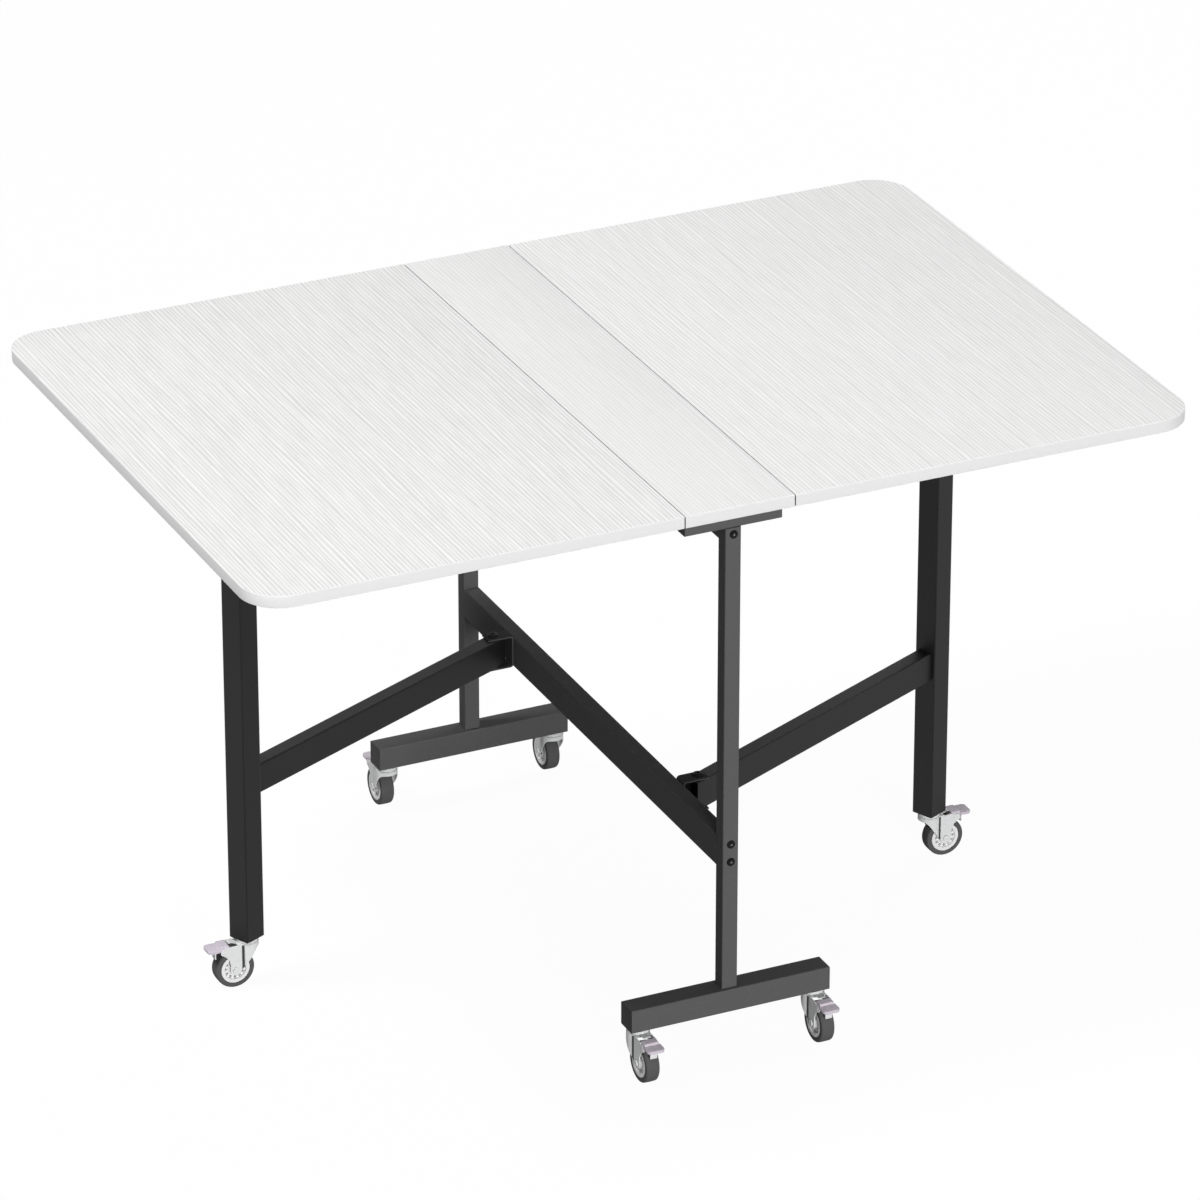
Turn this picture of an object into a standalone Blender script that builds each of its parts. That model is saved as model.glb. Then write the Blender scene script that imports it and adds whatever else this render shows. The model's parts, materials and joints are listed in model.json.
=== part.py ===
"""Folding dining table: a fixed centre panel on two end frames, two hinged leaves, and two gate
legs on casters that swing out to hold the leaves up.

Metres, +Z up. The floor is Z = 0, and the origin is below the middle of the top. The top is longest
along X, and the front is -Y.
"""

from math import atan2, cos, degrees, pi, radians, sin, sqrt

import bmesh
import bpy
from mathutils import Matrix, Vector

# Clearance between pieces that touch, and around a pin in its hole
SEAT = 0.0003

# Top
TABLE_HEIGHT = 0.730
TOP_LENGTH = 1.200
TOP_WIDTH = 0.800
PANEL_THICKNESS = 0.015
CENTRE_PANEL_LENGTH = 0.139
SEAM_GAP = 0.0012
LEAF_CORNER_RADIUS = 0.050
PANEL_EDGE_BEVEL = 0.0008

# Steel tube: slim for the posts, crossbars and upper rail, flat for the stretcher and gate arms,
# and stout for the feet and gate legs
SLIM_TUBE = 0.020
FLAT_TUBE_WIDTH = 0.020
STRETCHER_HEIGHT = 0.040
GATE_ARM_HEIGHT = 0.038
STOUT_TUBE = 0.030
TUBE_WALL = 0.0015
TUBE_CORNER_RADIUS = 0.0015
END_PLATE = 0.002

# End frames
POST_SETBACK = 0.028
CROSSBAR_LENGTH = 0.124
CROSSBAR_SCREW_SPACING = 0.090
SCREW_HOLE_RADIUS = 0.0025
FOOT_LENGTH = 0.260
STRETCHER_BOTTOM = 0.250

# Gates, counted from the middle of the table and the stretcher's side
GATE_PIN_SETOUT = 0.222
GATE_PIN_STANDOFF = 0.024
GATE_REACH = 0.456
GATE_ANGLE = radians(25)
GATE_ARM_TAIL = 0.012
GATE_PIN_RADIUS = 0.004
GATE_PIN_HEAD_RADIUS = 0.0065
GATE_PIN_HEAD_HEIGHT = 0.0035
GATE_PIN_HEAD_CHAMFER = 0.0016
GATE_NUT_RADIUS = 0.0075
GATE_NUT_HEIGHT = 0.0065
BRACKET_PLATE = 0.002
BRACKET_WIDTH = 0.020
BRACKET_LIP = 0.010
BRACKET_BEND_RADIUS = 0.003
LEG_CAP_FLANGE = 0.003
LEG_CAP_PLUG = 0.012

# Leaf hinges under the seams
HINGE_END_GAP = 0.012
HINGE_LENGTH = 0.060
HINGE_PLATE_WIDTH = 0.028
HINGE_PLATE = 0.0015
HINGE_BARREL_RADIUS = 0.003
HINGE_PIN_RADIUS = 0.0015
HINGE_SCREW_SPACING = 0.036

# Casters
CASTER_INSET = 0.015
WHEEL_RADIUS = 0.025
WHEEL_WIDTH = 0.0172
WHEEL_SIDE_GAP = 0.0009
TYRE_SHOULDER = 0.002
RIM_RADIUS = 0.014
RIM_RECESS = 0.003
HUB_RADIUS = 0.006
TRAIL = 0.019
CROWN_GAP = 0.0064
CROWN_LENGTH = 0.0165
FORK_PLATE = 0.0012
FORK_CUP_RADIUS = 0.0142
FORK_NECK_RADIUS = 0.005
FORK_BOSS_RADIUS = 0.0072
FORK_NOSE_DEPTH = 0.0053
FORK_NOSE_FILLET = 0.009
FORK_RAKE = radians(55)
FORK_FILLET_RADIUS = 0.016
HUB_PLAY = 0.0004
AXLE_RADIUS = 0.003
AXLE_HEAD_RADIUS = 0.004
AXLE_HEAD_HEIGHT = 0.0015
AXLE_HEAD_CHAMFER = 0.0008
RACEWAY_RADIUS = 0.0135
RACEWAY_THICKNESS = 0.0044
STEM_RADIUS = 0.004
STEM_HEADROOM = 0.0035
KINGPIN_HEAD_RADIUS = 0.007
KINGPIN_HEAD_HEIGHT = 0.002

# Brake pedals, counted from the pedal's pivot
PIVOT_BACK = 0.015
PIVOT_DROP = 0.0064
PIVOT_RADIUS = 0.002
EAR_RADIUS = 0.0044
PEDAL_SIDE_GAP = 0.0005
PEDAL_HUB_RADIUS = 0.0028
PEDAL_HEEL = 0.0072
PEDAL_STEP = 0.0036
PEDAL_TIP = 0.0186
PEDAL_TIP_CORNER = 0.006
PEDAL_TOP = 0.0076
PEDAL_RISER = 0.0026
PEDAL_RISER_RAKE = 0.0014
PEDAL_TIP_THICKNESS = 0.0038
PEDAL_CHAMFER = 0.0012
SHOE_SETOUT = 0.009
SHOE_DROP = 0.0105
SHOE_WIDTH = 0.009
SHOE_PLATE = 0.0014

# Facets of round forms
WHEEL_FACETS = 20
PIN_FACETS = 12
SMALL_FACETS = 8
CORNER_FACETS = 8
CUP_FACETS = 14
NECK_FACETS = 2
HALF_ROUND_FACETS = 8
BEND_FACETS = 4
TUBE_CORNER_FACETS = 2
NUT_SIDES = 6

# Heights and places that follow from the sizes above
UNDERSIDE = TABLE_HEIGHT - PANEL_THICKNESS
SEAM_X = CENTRE_PANEL_LENGTH / 2 + SEAM_GAP / 2
LEAF_LENGTH = TOP_LENGTH / 2 - CENTRE_PANEL_LENGTH / 2 - SEAM_GAP
POST_Y = TOP_WIDTH / 2 - POST_SETBACK
CROWN_UNDERSIDE = 2 * WHEEL_RADIUS + CROWN_GAP
FORK_TOP = CROWN_UNDERSIDE + FORK_PLATE
CASTER_HEIGHT = FORK_TOP + SEAT + RACEWAY_THICKNESS + SEAT
FOOT_TOP = CASTER_HEIGHT + STOUT_TUBE
CROSSBAR_TOP = UNDERSIDE - SEAT
POST_TOP = CROSSBAR_TOP - SLIM_TUBE - SEAT
POST_BOTTOM = FOOT_TOP + SEAT
RAIL_LENGTH = 2 * POST_Y - SLIM_TUBE - 2 * SEAT
GATE_PIN_X = FLAT_TUBE_WIDTH / 2 + GATE_PIN_STANDOFF
GATE_ARM_BOTTOM = STRETCHER_BOTTOM + BRACKET_PLATE + SEAT
BRACKET_HEIGHT = GATE_ARM_HEIGHT + 2 * SEAT + 2 * BRACKET_PLATE
LEG_CAP_TOP = UNDERSIDE - SEAT
LEG_TOP = LEG_CAP_TOP - LEG_CAP_FLANGE - SEAT
HINGE_AXIS_Z = UNDERSIDE - SEAT - HINGE_BARREL_RADIUS
HINGE_Y = POST_Y - SLIM_TUBE / 2 - HINGE_END_GAP - HINGE_LENGTH / 2
CASTER_X = FOOT_LENGTH / 2 - CASTER_INSET
STEM_LENGTH = STOUT_TUBE - TUBE_WALL - STEM_HEADROOM
FORK_GAP = WHEEL_WIDTH + 2 * WHEEL_SIDE_GAP
CHEEK_OUTSIDE = FORK_GAP / 2 + FORK_PLATE
PEDAL_WIDTH = FORK_GAP - 2 * PEDAL_SIDE_GAP
PIVOT_X = TRAIL + PIVOT_BACK
PIVOT_Z = FORK_TOP - PIVOT_DROP

# Turns that stand a shape made along X or Z on another axis
ALONG_Y = Matrix.Rotation(pi / 2, 4, "Z")
UPRIGHT = Matrix.Rotation(-pi / 2, 4, "Y")
FROM_SIDE = Matrix.Rotation(pi / 2, 4, "X")


def clear_scene():
    for obj in list(bpy.data.objects):
        bpy.data.objects.remove(obj)


def new_collection(name):
    collection = bpy.data.collections.new(name)
    bpy.context.scene.collection.children.link(collection)
    return collection


def new_material(name, colour, roughness, metallic=0.0):
    material = bpy.data.materials.new(name)
    material.use_nodes = True
    shader = material.node_tree.nodes["Principled BSDF"]
    shader.inputs["Base Color"].default_value = (*colour, 1.0)
    shader.inputs["Roughness"].default_value = roughness
    shader.inputs["Metallic"].default_value = metallic
    return material


clear_scene()
TABLE = new_collection("Folding dining table")
CUTTERS = new_collection("Cutters")
CUTTERS.hide_render = True

LAMINATE = new_material("White wood-grain laminate", (0.86, 0.86, 0.85), 0.45)
POWDER_COAT = new_material("Charcoal powder coat", (0.045, 0.045, 0.044), 0.55, 0.2)
ZINC = new_material("Zinc plate", (0.72, 0.73, 0.72), 0.3, 1.0)
BLACK_PLASTIC = new_material("Black plastic", (0.02, 0.02, 0.02), 0.5)
TYRE_RUBBER = new_material("Grey tyre and white rim", (0.11, 0.11, 0.11), 0.6)
PEDAL_PLASTIC = new_material("Lilac grey plastic", (0.44, 0.40, 0.45), 0.5)
BLACK_OXIDE = new_material("Black bolt", (0.02, 0.02, 0.02), 0.4, 0.8)


# Basic shapes, each a mesh


def helper(data):
    """A wire object that carries data while a modifier is worked out."""
    obj = bpy.data.objects.new("Helper", data)
    obj.display_type = "WIRE"
    obj.hide_render = True
    CUTTERS.objects.link(obj)
    return obj


def evaluated_mesh(obj):
    bpy.context.view_layer.update()
    graph = bpy.context.evaluated_depsgraph_get()
    return bpy.data.meshes.new_from_object(obj.evaluated_get(graph))


def frozen(obj, *others):
    """The mesh that obj's modifiers make. The helpers themselves are removed."""
    mesh = evaluated_mesh(obj)
    for used in (obj, *others):
        bpy.data.objects.remove(used)
    return mesh


def from_bmesh(shape):
    mesh = bpy.data.meshes.new("Shape")
    shape.to_mesh(mesh)
    shape.free()
    return mesh


def placed(mesh, *places):
    """The mesh after each place, a matrix or a shift, in turn."""
    for place in places:
        mesh.transform(place if isinstance(place, Matrix) else Matrix.Translation(place))
    return mesh


def box(length, width, height, corner_radius=0.0):
    """A block about the origin, its edges along X rounded."""
    shape = bmesh.new()
    bmesh.ops.create_cube(shape, size=1.0)
    bmesh.ops.scale(shape, verts=shape.verts, vec=(length, width, height))
    if corner_radius:
        edges = [edge for edge in shape.edges if edge.verts[0].co.x * edge.verts[1].co.x < 0]
        bmesh.ops.bevel(
            shape,
            geom=edges,
            offset=corner_radius,
            segments=TUBE_CORNER_FACETS,
            profile=0.5,
            affect="EDGES",
        )
    return from_bmesh(shape)


def rod(radius, length, facets):
    """A cylinder about the origin, along Z."""
    shape = bmesh.new()
    bmesh.ops.create_cone(
        shape, cap_ends=True, segments=facets, radius1=radius, radius2=radius, depth=length
    )
    return from_bmesh(shape)


def arc(centre, radius, start, end, facets):
    """Points along an arc, angles in degrees, with both ends."""
    turns = [radians(start + (end - start) * step / facets) for step in range(facets + 1)]
    return [(centre[0] + radius * cos(turn), centre[1] + radius * sin(turn)) for turn in turns]


def prism(outline, depth):
    """A flat outline in X and Y, as thick as depth, half of it each side of Z = 0."""
    curve = bpy.data.curves.new("Outline", "CURVE")
    curve.dimensions = "2D"
    curve.fill_mode = "BOTH"
    curve.extrude = depth / 2
    spline = curve.splines.new("POLY")
    spline.points.add(len(outline) - 1)
    for point, (x, y) in zip(spline.points, outline):
        point.co = (x, y, 0.0, 1.0)
    spline.use_cyclic_u = True
    mesh = frozen(helper(curve))
    shape = bmesh.new()
    shape.from_mesh(mesh)
    bmesh.ops.remove_doubles(shape, verts=shape.verts, dist=1e-6)
    bmesh.ops.recalc_face_normals(shape, faces=shape.faces)
    return from_bmesh(shape)


def turned(profile, facets, ring=False):
    """A profile of radius and height, run from the top down its outer side, turned about Z.

    A ring's profile closes on itself, and any other starts and ends on the axis.
    """
    mesh = bpy.data.meshes.new("Profile")
    count = len(profile)
    edges = [(index, index + 1) for index in range(count - 1)]
    if ring:
        edges.append((count - 1, 0))
    mesh.from_pydata([(radius, 0.0, height) for radius, height in profile], edges, [])
    obj = helper(mesh)
    screw = obj.modifiers.new("Turn", "SCREW")
    screw.steps = facets
    screw.render_steps = facets
    screw.use_merge_vertices = True
    screw.merge_threshold = 1e-5
    return frozen(obj)


def combined(mesh, operation, *tools):
    """The mesh after the same Boolean operation with each tool in turn."""
    body = helper(mesh)
    helpers = [helper(tool) for tool in tools]
    for tool in helpers:
        step = body.modifiers.new(operation, "BOOLEAN")
        step.operation = operation
        step.object = tool
    return frozen(body, *helpers)


def smooth(mesh):
    mesh.shade_smooth()
    mesh.set_sharp_from_angle(angle=radians(32))
    return mesh


# Objects and joints


def part(name, mesh, material, parent=None, location=(0, 0, 0), turn=0.0):
    """A named piece with its own copy of the mesh, turned about Z on its parent."""
    mesh = mesh.copy()
    mesh.name = name
    mesh.materials.clear()
    mesh.materials.append(material)
    obj = bpy.data.objects.new(name, smooth(mesh))
    TABLE.objects.link(obj)
    return joined(obj, parent, location, turn)


def pivot(name, location, turn=0.0, parent=None):
    """An empty on a joint's axis, which the pieces on one side of the joint are placed from."""
    obj = bpy.data.objects.new(name, None)
    obj.empty_display_size = 0.03
    TABLE.objects.link(obj)
    return joined(obj, parent, location, turn)


def joined(obj, parent, location, turn):
    obj.parent = parent
    obj.location = location
    obj.rotation_euler = (0.0, 0.0, turn)
    return obj


# Top


def panel(length, outer_corner_radius=0.0):
    """A panel from X = 0 outwards, its underside at Z = 0, with rounded corners at the outer end."""
    shape = bmesh.new()
    bmesh.ops.create_cube(shape, size=1.0)
    bmesh.ops.scale(shape, verts=shape.verts, vec=(length, TOP_WIDTH, PANEL_THICKNESS))
    bmesh.ops.translate(shape, verts=shape.verts, vec=(length / 2, 0.0, PANEL_THICKNESS / 2))
    if outer_corner_radius:
        corners = [
            edge
            for edge in shape.edges
            if min(vert.co.x for vert in edge.verts) > length / 2
            and abs(edge.verts[0].co.z - edge.verts[1].co.z) > PANEL_THICKNESS / 2
        ]
        bmesh.ops.bevel(
            shape,
            geom=corners,
            offset=outer_corner_radius,
            segments=CORNER_FACETS,
            profile=0.5,
            affect="EDGES",
        )
    obj = helper(from_bmesh(shape))
    bevel = obj.modifiers.new("Eased edge", "BEVEL")
    bevel.width = PANEL_EDGE_BEVEL
    bevel.segments = 1
    bevel.limit_method = "ANGLE"
    bevel.angle_limit = radians(40)
    return frozen(obj)


def make_top():
    centre = placed(panel(CENTRE_PANEL_LENGTH), (-CENTRE_PANEL_LENGTH / 2, 0.0, 0.0))
    part("centre_panel", centre, LAMINATE, location=(0.0, 0.0, UNDERSIDE))
    for side, turn in (("left", pi), ("right", 0.0)):
        outwards = cos(turn)
        on_axis = (outwards * SEAM_X, 0.0, HINGE_AXIS_Z)
        mount = pivot(f"{side}_leaf_mount", on_axis, turn)
        lift = pivot(f"{side}_leaf_lift", on_axis, turn)
        leaf = panel(LEAF_LENGTH, LEAF_CORNER_RADIUS)
        part(f"{side}_leaf", leaf, LAMINATE, lift, (SEAM_GAP / 2, 0.0, UNDERSIDE - HINGE_AXIS_Z))
        for end, y in (("front", -HINGE_Y), ("rear", HINGE_Y)):
            where = (0.0, outwards * y, 0.0)
            part(f"{side}_{end}_hinge_leaf_plate", leaf_plate(), ZINC, lift, where)
            part(f"{side}_{end}_hinge_fixed_plate", fixed_plate(), ZINC, mount, where)


def knuckled_plate(*middles):
    """Half of a hinge about its pin, along Y: the screwed plate, and a knuckle at each middle."""
    clear = HINGE_BARREL_RADIUS + SEAT
    width = HINGE_PLATE_WIDTH - clear
    plate_z = HINGE_BARREL_RADIUS - HINGE_PLATE / 2
    knuckle = HINGE_LENGTH / 3 - SEAT
    web = clear + HINGE_PLATE
    plate = placed(box(width, HINGE_LENGTH, HINGE_PLATE), (clear + width / 2, 0.0, plate_z))
    knuckles = []
    for y in middles:
        barrel = rod(HINGE_BARREL_RADIUS, knuckle, SMALL_FACETS)
        knuckles.append(placed(barrel, FROM_SIDE, (0.0, y, 0.0)))
        knuckles.append(placed(box(web, knuckle, HINGE_PLATE), (web / 2, y, plate_z)))
    holes = []
    for y in (-HINGE_SCREW_SPACING / 2, HINGE_SCREW_SPACING / 2):
        hole = rod(SCREW_HOLE_RADIUS, 4 * HINGE_PLATE, SMALL_FACETS)
        holes.append(placed(hole, (clear + width / 2, y, plate_z)))
    return combined(combined(plate, "UNION", *knuckles), "DIFFERENCE", *holes)


def leaf_plate():
    """The half on the leaf, with the middle knuckle, bored for the pin."""
    bore = placed(rod(HINGE_PIN_RADIUS + SEAT, HINGE_LENGTH, SMALL_FACETS), FROM_SIDE)
    return combined(knuckled_plate(0.0), "DIFFERENCE", bore)


def fixed_plate():
    """The half on the centre panel, with the two end knuckles and the pin, staked in them."""
    pin = placed(rod(HINGE_PIN_RADIUS, HINGE_LENGTH - 2 * SEAT, SMALL_FACETS), FROM_SIDE)
    half = combined(knuckled_plate(-HINGE_LENGTH / 3, HINGE_LENGTH / 3), "UNION", pin)
    return placed(half, Matrix.Rotation(pi, 4, "Z"))


# Tubes


def tube(length, width, height, near_plate=0.0, far_plate=0.0):
    """A square or flat tube about the origin, along X. An end is open, or closed by a plate."""
    past = 2 * TUBE_WALL
    start = -length / 2 + (near_plate if near_plate else -past)
    end = length / 2 - (far_plate if far_plate else -past)
    bore = box(end - start, width - 2 * TUBE_WALL, height - 2 * TUBE_WALL)
    placed(bore, ((start + end) / 2, 0.0, 0.0))
    return combined(box(length, width, height, TUBE_CORNER_RADIUS), "DIFFERENCE", bore)


def make_end_frame(end, y):
    """The foot, post and crossbar at one end of the table."""
    holes = [
        placed(rod(STEM_RADIUS + SEAT, STOUT_TUBE, PIN_FACETS), (x, 0.0, -STOUT_TUBE / 2))
        for x in (-CASTER_X, CASTER_X)
    ]
    foot = combined(tube(FOOT_LENGTH, STOUT_TUBE, STOUT_TUBE, END_PLATE, END_PLATE), "DIFFERENCE", *holes)
    part(f"{end}_foot", foot, POWDER_COAT, location=(0.0, y, CASTER_HEIGHT + STOUT_TUBE / 2))

    post = placed(tube(POST_TOP - POST_BOTTOM, SLIM_TUBE, SLIM_TUBE), UPRIGHT)
    part(f"{end}_post", post, POWDER_COAT, location=(0.0, y, (POST_TOP + POST_BOTTOM) / 2))

    holes = [
        placed(rod(SCREW_HOLE_RADIUS, 2 * SLIM_TUBE, SMALL_FACETS), (x, 0.0, 0.0))
        for x in (-CROSSBAR_SCREW_SPACING / 2, CROSSBAR_SCREW_SPACING / 2)
    ]
    bar = tube(CROSSBAR_LENGTH, SLIM_TUBE, SLIM_TUBE, END_PLATE, END_PLATE)
    bar = combined(bar, "DIFFERENCE", *holes)
    part(f"{end}_crossbar", bar, POWDER_COAT, location=(0.0, y, CROSSBAR_TOP - SLIM_TUBE / 2))


def make_rails():
    stretcher = placed(tube(RAIL_LENGTH, FLAT_TUBE_WIDTH, STRETCHER_HEIGHT), ALONG_Y)
    stretcher_z = STRETCHER_BOTTOM + STRETCHER_HEIGHT / 2
    part("stretcher_rail", stretcher, POWDER_COAT, location=(0.0, 0.0, stretcher_z))
    upper = placed(tube(RAIL_LENGTH, SLIM_TUBE, SLIM_TUBE), ALONG_Y)
    part("upper_rail", upper, POWDER_COAT, location=(0.0, 0.0, POST_TOP - SLIM_TUBE / 2))


# Gates


def gate_bracket():
    """A strip bent to a U about the pin, open towards -X, with its lower tab's underside at Z = 0."""
    web_x = GATE_PIN_STANDOFF - SEAT
    low, high = BRACKET_PLATE / 2, BRACKET_HEIGHT - BRACKET_PLATE / 2
    path = [(-BRACKET_LIP, high), (web_x - BRACKET_PLATE / 2, high)]
    path += [(web_x - BRACKET_PLATE / 2, low), (-BRACKET_LIP, low)]
    shape = bmesh.new()
    rows = [
        [shape.verts.new((x, side * BRACKET_WIDTH / 2, z)) for x, z in path] for side in (-1, 1)
    ]
    for index in range(len(path) - 1):
        shape.faces.new((rows[0][index], rows[0][index + 1], rows[1][index + 1], rows[1][index]))
    bends = [edge for edge in shape.edges if len(edge.link_faces) == 2]
    bmesh.ops.bevel(
        shape,
        geom=bends,
        offset=BRACKET_BEND_RADIUS,
        segments=BEND_FACETS,
        profile=0.5,
        affect="EDGES",
    )
    obj = helper(from_bmesh(shape))
    plate = obj.modifiers.new("Plate", "SOLIDIFY")
    plate.thickness = BRACKET_PLATE
    plate.offset = 0.0
    hole = rod(GATE_PIN_RADIUS + SEAT, 3 * BRACKET_HEIGHT, PIN_FACETS)
    return combined(frozen(obj), "DIFFERENCE", hole)


def gate_pin():
    """A headed bolt down through the bracket, whose top is Z = 0, with its nut below."""
    head_top = SEAT + GATE_PIN_HEAD_HEIGHT
    nut_top = -BRACKET_HEIGHT - SEAT
    nut_bottom = nut_top - GATE_NUT_HEIGHT
    end = nut_bottom - SEAT
    profile = [
        (0.0, head_top),
        (GATE_PIN_HEAD_RADIUS - GATE_PIN_HEAD_CHAMFER, head_top),
        (GATE_PIN_HEAD_RADIUS, head_top - GATE_PIN_HEAD_CHAMFER),
        (GATE_PIN_HEAD_RADIUS, SEAT),
        (GATE_PIN_RADIUS, SEAT),
        (GATE_PIN_RADIUS, end),
        (0.0, end),
    ]
    nut = rod(GATE_NUT_RADIUS, GATE_NUT_HEIGHT, NUT_SIDES)
    placed(nut, (0.0, 0.0, (nut_top + nut_bottom) / 2))
    return combined(turned(profile, PIN_FACETS), "UNION", nut)


def make_gate(side, turn):
    """One gate: its bracket and pin on the stretcher, and the arm and leg that swing about the pin.

    turn is 0 for the left gate and half a turn for the right one.
    """
    outwards = -cos(turn)
    pin_place = Vector((outwards * GATE_PIN_X, -outwards * GATE_PIN_SETOUT, 0.0))
    fixed = pivot(f"{side}_gate_mount", pin_place, turn)
    part(f"{side}_gate_bracket", gate_bracket(), POWDER_COAT, fixed, (0.0, 0.0, STRETCHER_BOTTOM))
    bracket_top = STRETCHER_BOTTOM + BRACKET_HEIGHT
    part(f"{side}_gate_pin", gate_pin(), BLACK_OXIDE, fixed, (0.0, 0.0, bracket_top))

    swing = pivot(f"{side}_gate_swing", pin_place, turn + GATE_ANGLE)
    arm_end = GATE_REACH - STOUT_TUBE / 2 - SEAT
    arm_middle = (GATE_ARM_TAIL - arm_end) / 2
    hole = rod(GATE_PIN_RADIUS + SEAT, 2 * GATE_ARM_HEIGHT, PIN_FACETS)
    placed(hole, (-arm_middle, 0.0, 0.0))
    arm = tube(arm_end + GATE_ARM_TAIL, FLAT_TUBE_WIDTH, GATE_ARM_HEIGHT)
    arm = combined(arm, "DIFFERENCE", hole)
    arm_z = GATE_ARM_BOTTOM + GATE_ARM_HEIGHT / 2
    part(f"{side}_gate_arm", arm, POWDER_COAT, swing, (arm_middle, 0.0, arm_z))

    height = LEG_TOP - CASTER_HEIGHT
    hole = placed(rod(STEM_RADIUS + SEAT, 4 * END_PLATE, PIN_FACETS), (0.0, 0.0, -height / 2))
    leg = placed(tube(height, STOUT_TUBE, STOUT_TUBE, near_plate=END_PLATE), UPRIGHT)
    leg = combined(leg, "DIFFERENCE", hole)
    leg_z = CASTER_HEIGHT + height / 2
    part(f"{side}_gate_leg", leg, POWDER_COAT, swing, (-GATE_REACH, 0.0, leg_z))
    part(f"{side}_leg_cap", leg_cap(), BLACK_PLASTIC, swing, (-GATE_REACH, 0.0, LEG_TOP))
    return swing


def leg_cap():
    """A plug in the top of a leg, its flange on the tube's end at Z = 0."""
    flange = placed(box(LEG_CAP_FLANGE, STOUT_TUBE, STOUT_TUBE, TUBE_CORNER_RADIUS), UPRIGHT)
    placed(flange, (0.0, 0.0, SEAT + LEG_CAP_FLANGE / 2))
    inside = STOUT_TUBE - 2 * TUBE_WALL - 2 * SEAT
    plug = box(inside, inside, LEG_CAP_PLUG)
    placed(plug, (0.0, 0.0, SEAT + LEG_CAP_FLANGE / 2 - LEG_CAP_PLUG / 2))
    return combined(flange, "UNION", plug)


# Casters, each about its swivel axis with the wheel trailing towards +X


def caster_stem():
    """The raceway cap under the tube, the stem up into it, and the kingpin that the fork hangs on."""
    cap_top = CASTER_HEIGHT - SEAT
    cap_bottom = FORK_TOP + SEAT
    head_top = CROWN_UNDERSIDE - SEAT
    profile = [
        (0.0, CASTER_HEIGHT + STEM_LENGTH),
        (STEM_RADIUS, CASTER_HEIGHT + STEM_LENGTH),
        (STEM_RADIUS, cap_top),
        (RACEWAY_RADIUS - RACEWAY_THICKNESS / 2, cap_top),
        (RACEWAY_RADIUS, (cap_top + cap_bottom) / 2),
        (RACEWAY_RADIUS, cap_bottom),
        (STEM_RADIUS, cap_bottom),
        (STEM_RADIUS, head_top),
        (KINGPIN_HEAD_RADIUS, head_top),
        (KINGPIN_HEAD_RADIUS, head_top - KINGPIN_HEAD_HEIGHT),
        (0.0, head_top - KINGPIN_HEAD_HEIGHT),
    ]
    return turned(profile, PIN_FACETS)


def keyhole(cup, neck, half_width, length):
    """A fork's plan: a round cup about the swivel axis, drawn in through a hollow neck on each side to
    straight cheeks that run back to length."""
    neck_y = half_width + neck
    neck_x = sqrt((cup + neck) ** 2 - neck_y**2)
    meet = degrees(atan2(neck_y, neck_x))
    outline = arc((neck_x, neck_y), neck, -90, meet - 180, NECK_FACETS)
    outline += arc((0.0, 0.0), cup, meet, 360 - meet, CUP_FACETS)[1:-1]
    outline += arc((neck_x, -neck_y), neck, 180 - meet, 90, NECK_FACETS)
    return outline + [(length, -half_width), (length, half_width)]


def cheek_outline():
    """The fork seen from its side, with the crown left over-high.

    The cup's level rim bends into a raked edge, which runs on to the round boss at the axle. Behind it
    a fillet rises to the ear at the pedal's pivot.
    """
    over = FORK_TOP + FORK_PLATE
    front = -FORK_CUP_RADIUS - FORK_PLATE
    rim = FORK_TOP - FORK_NOSE_DEPTH
    rake_side = 270 - degrees(FORK_RAKE)
    outward = Vector((-sin(FORK_RAKE), -cos(FORK_RAKE)))
    touch = Vector((TRAIL, WHEEL_RADIUS)) + FORK_BOSS_RADIUS * outward
    bend_z = rim - FORK_NOSE_FILLET
    bend_x = touch.x + (FORK_NOSE_FILLET - (bend_z - touch.y) * outward.y) / outward.x

    fillet_x = TRAIL + FORK_BOSS_RADIUS + FORK_FILLET_RADIUS
    across = PIVOT_X - fillet_x
    rise = sqrt((FORK_FILLET_RADIUS + EAR_RADIUS) ** 2 - across**2)
    fillet_z = PIVOT_Z - rise
    to_ear = degrees(atan2(rise, across))

    outline = [(front, over), (front, rim)]
    outline += arc((bend_x, bend_z), FORK_NOSE_FILLET, 90, rake_side - 180, BEND_FACETS)
    outline += arc((TRAIL, WHEEL_RADIUS), FORK_BOSS_RADIUS, rake_side, 360, HALF_ROUND_FACETS)
    outline += arc((fillet_x, fillet_z), FORK_FILLET_RADIUS, 180, to_ear, BEND_FACETS)
    outline += arc((PIVOT_X, PIVOT_Z), EAR_RADIUS, to_ear - 180, 90, HALF_ROUND_FACETS)[1:]
    ear_back = PIVOT_X - EAR_RADIUS
    outline += [(ear_back, PIVOT_Z + EAR_RADIUS), (ear_back - FORK_PLATE, over)]
    return outline


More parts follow.
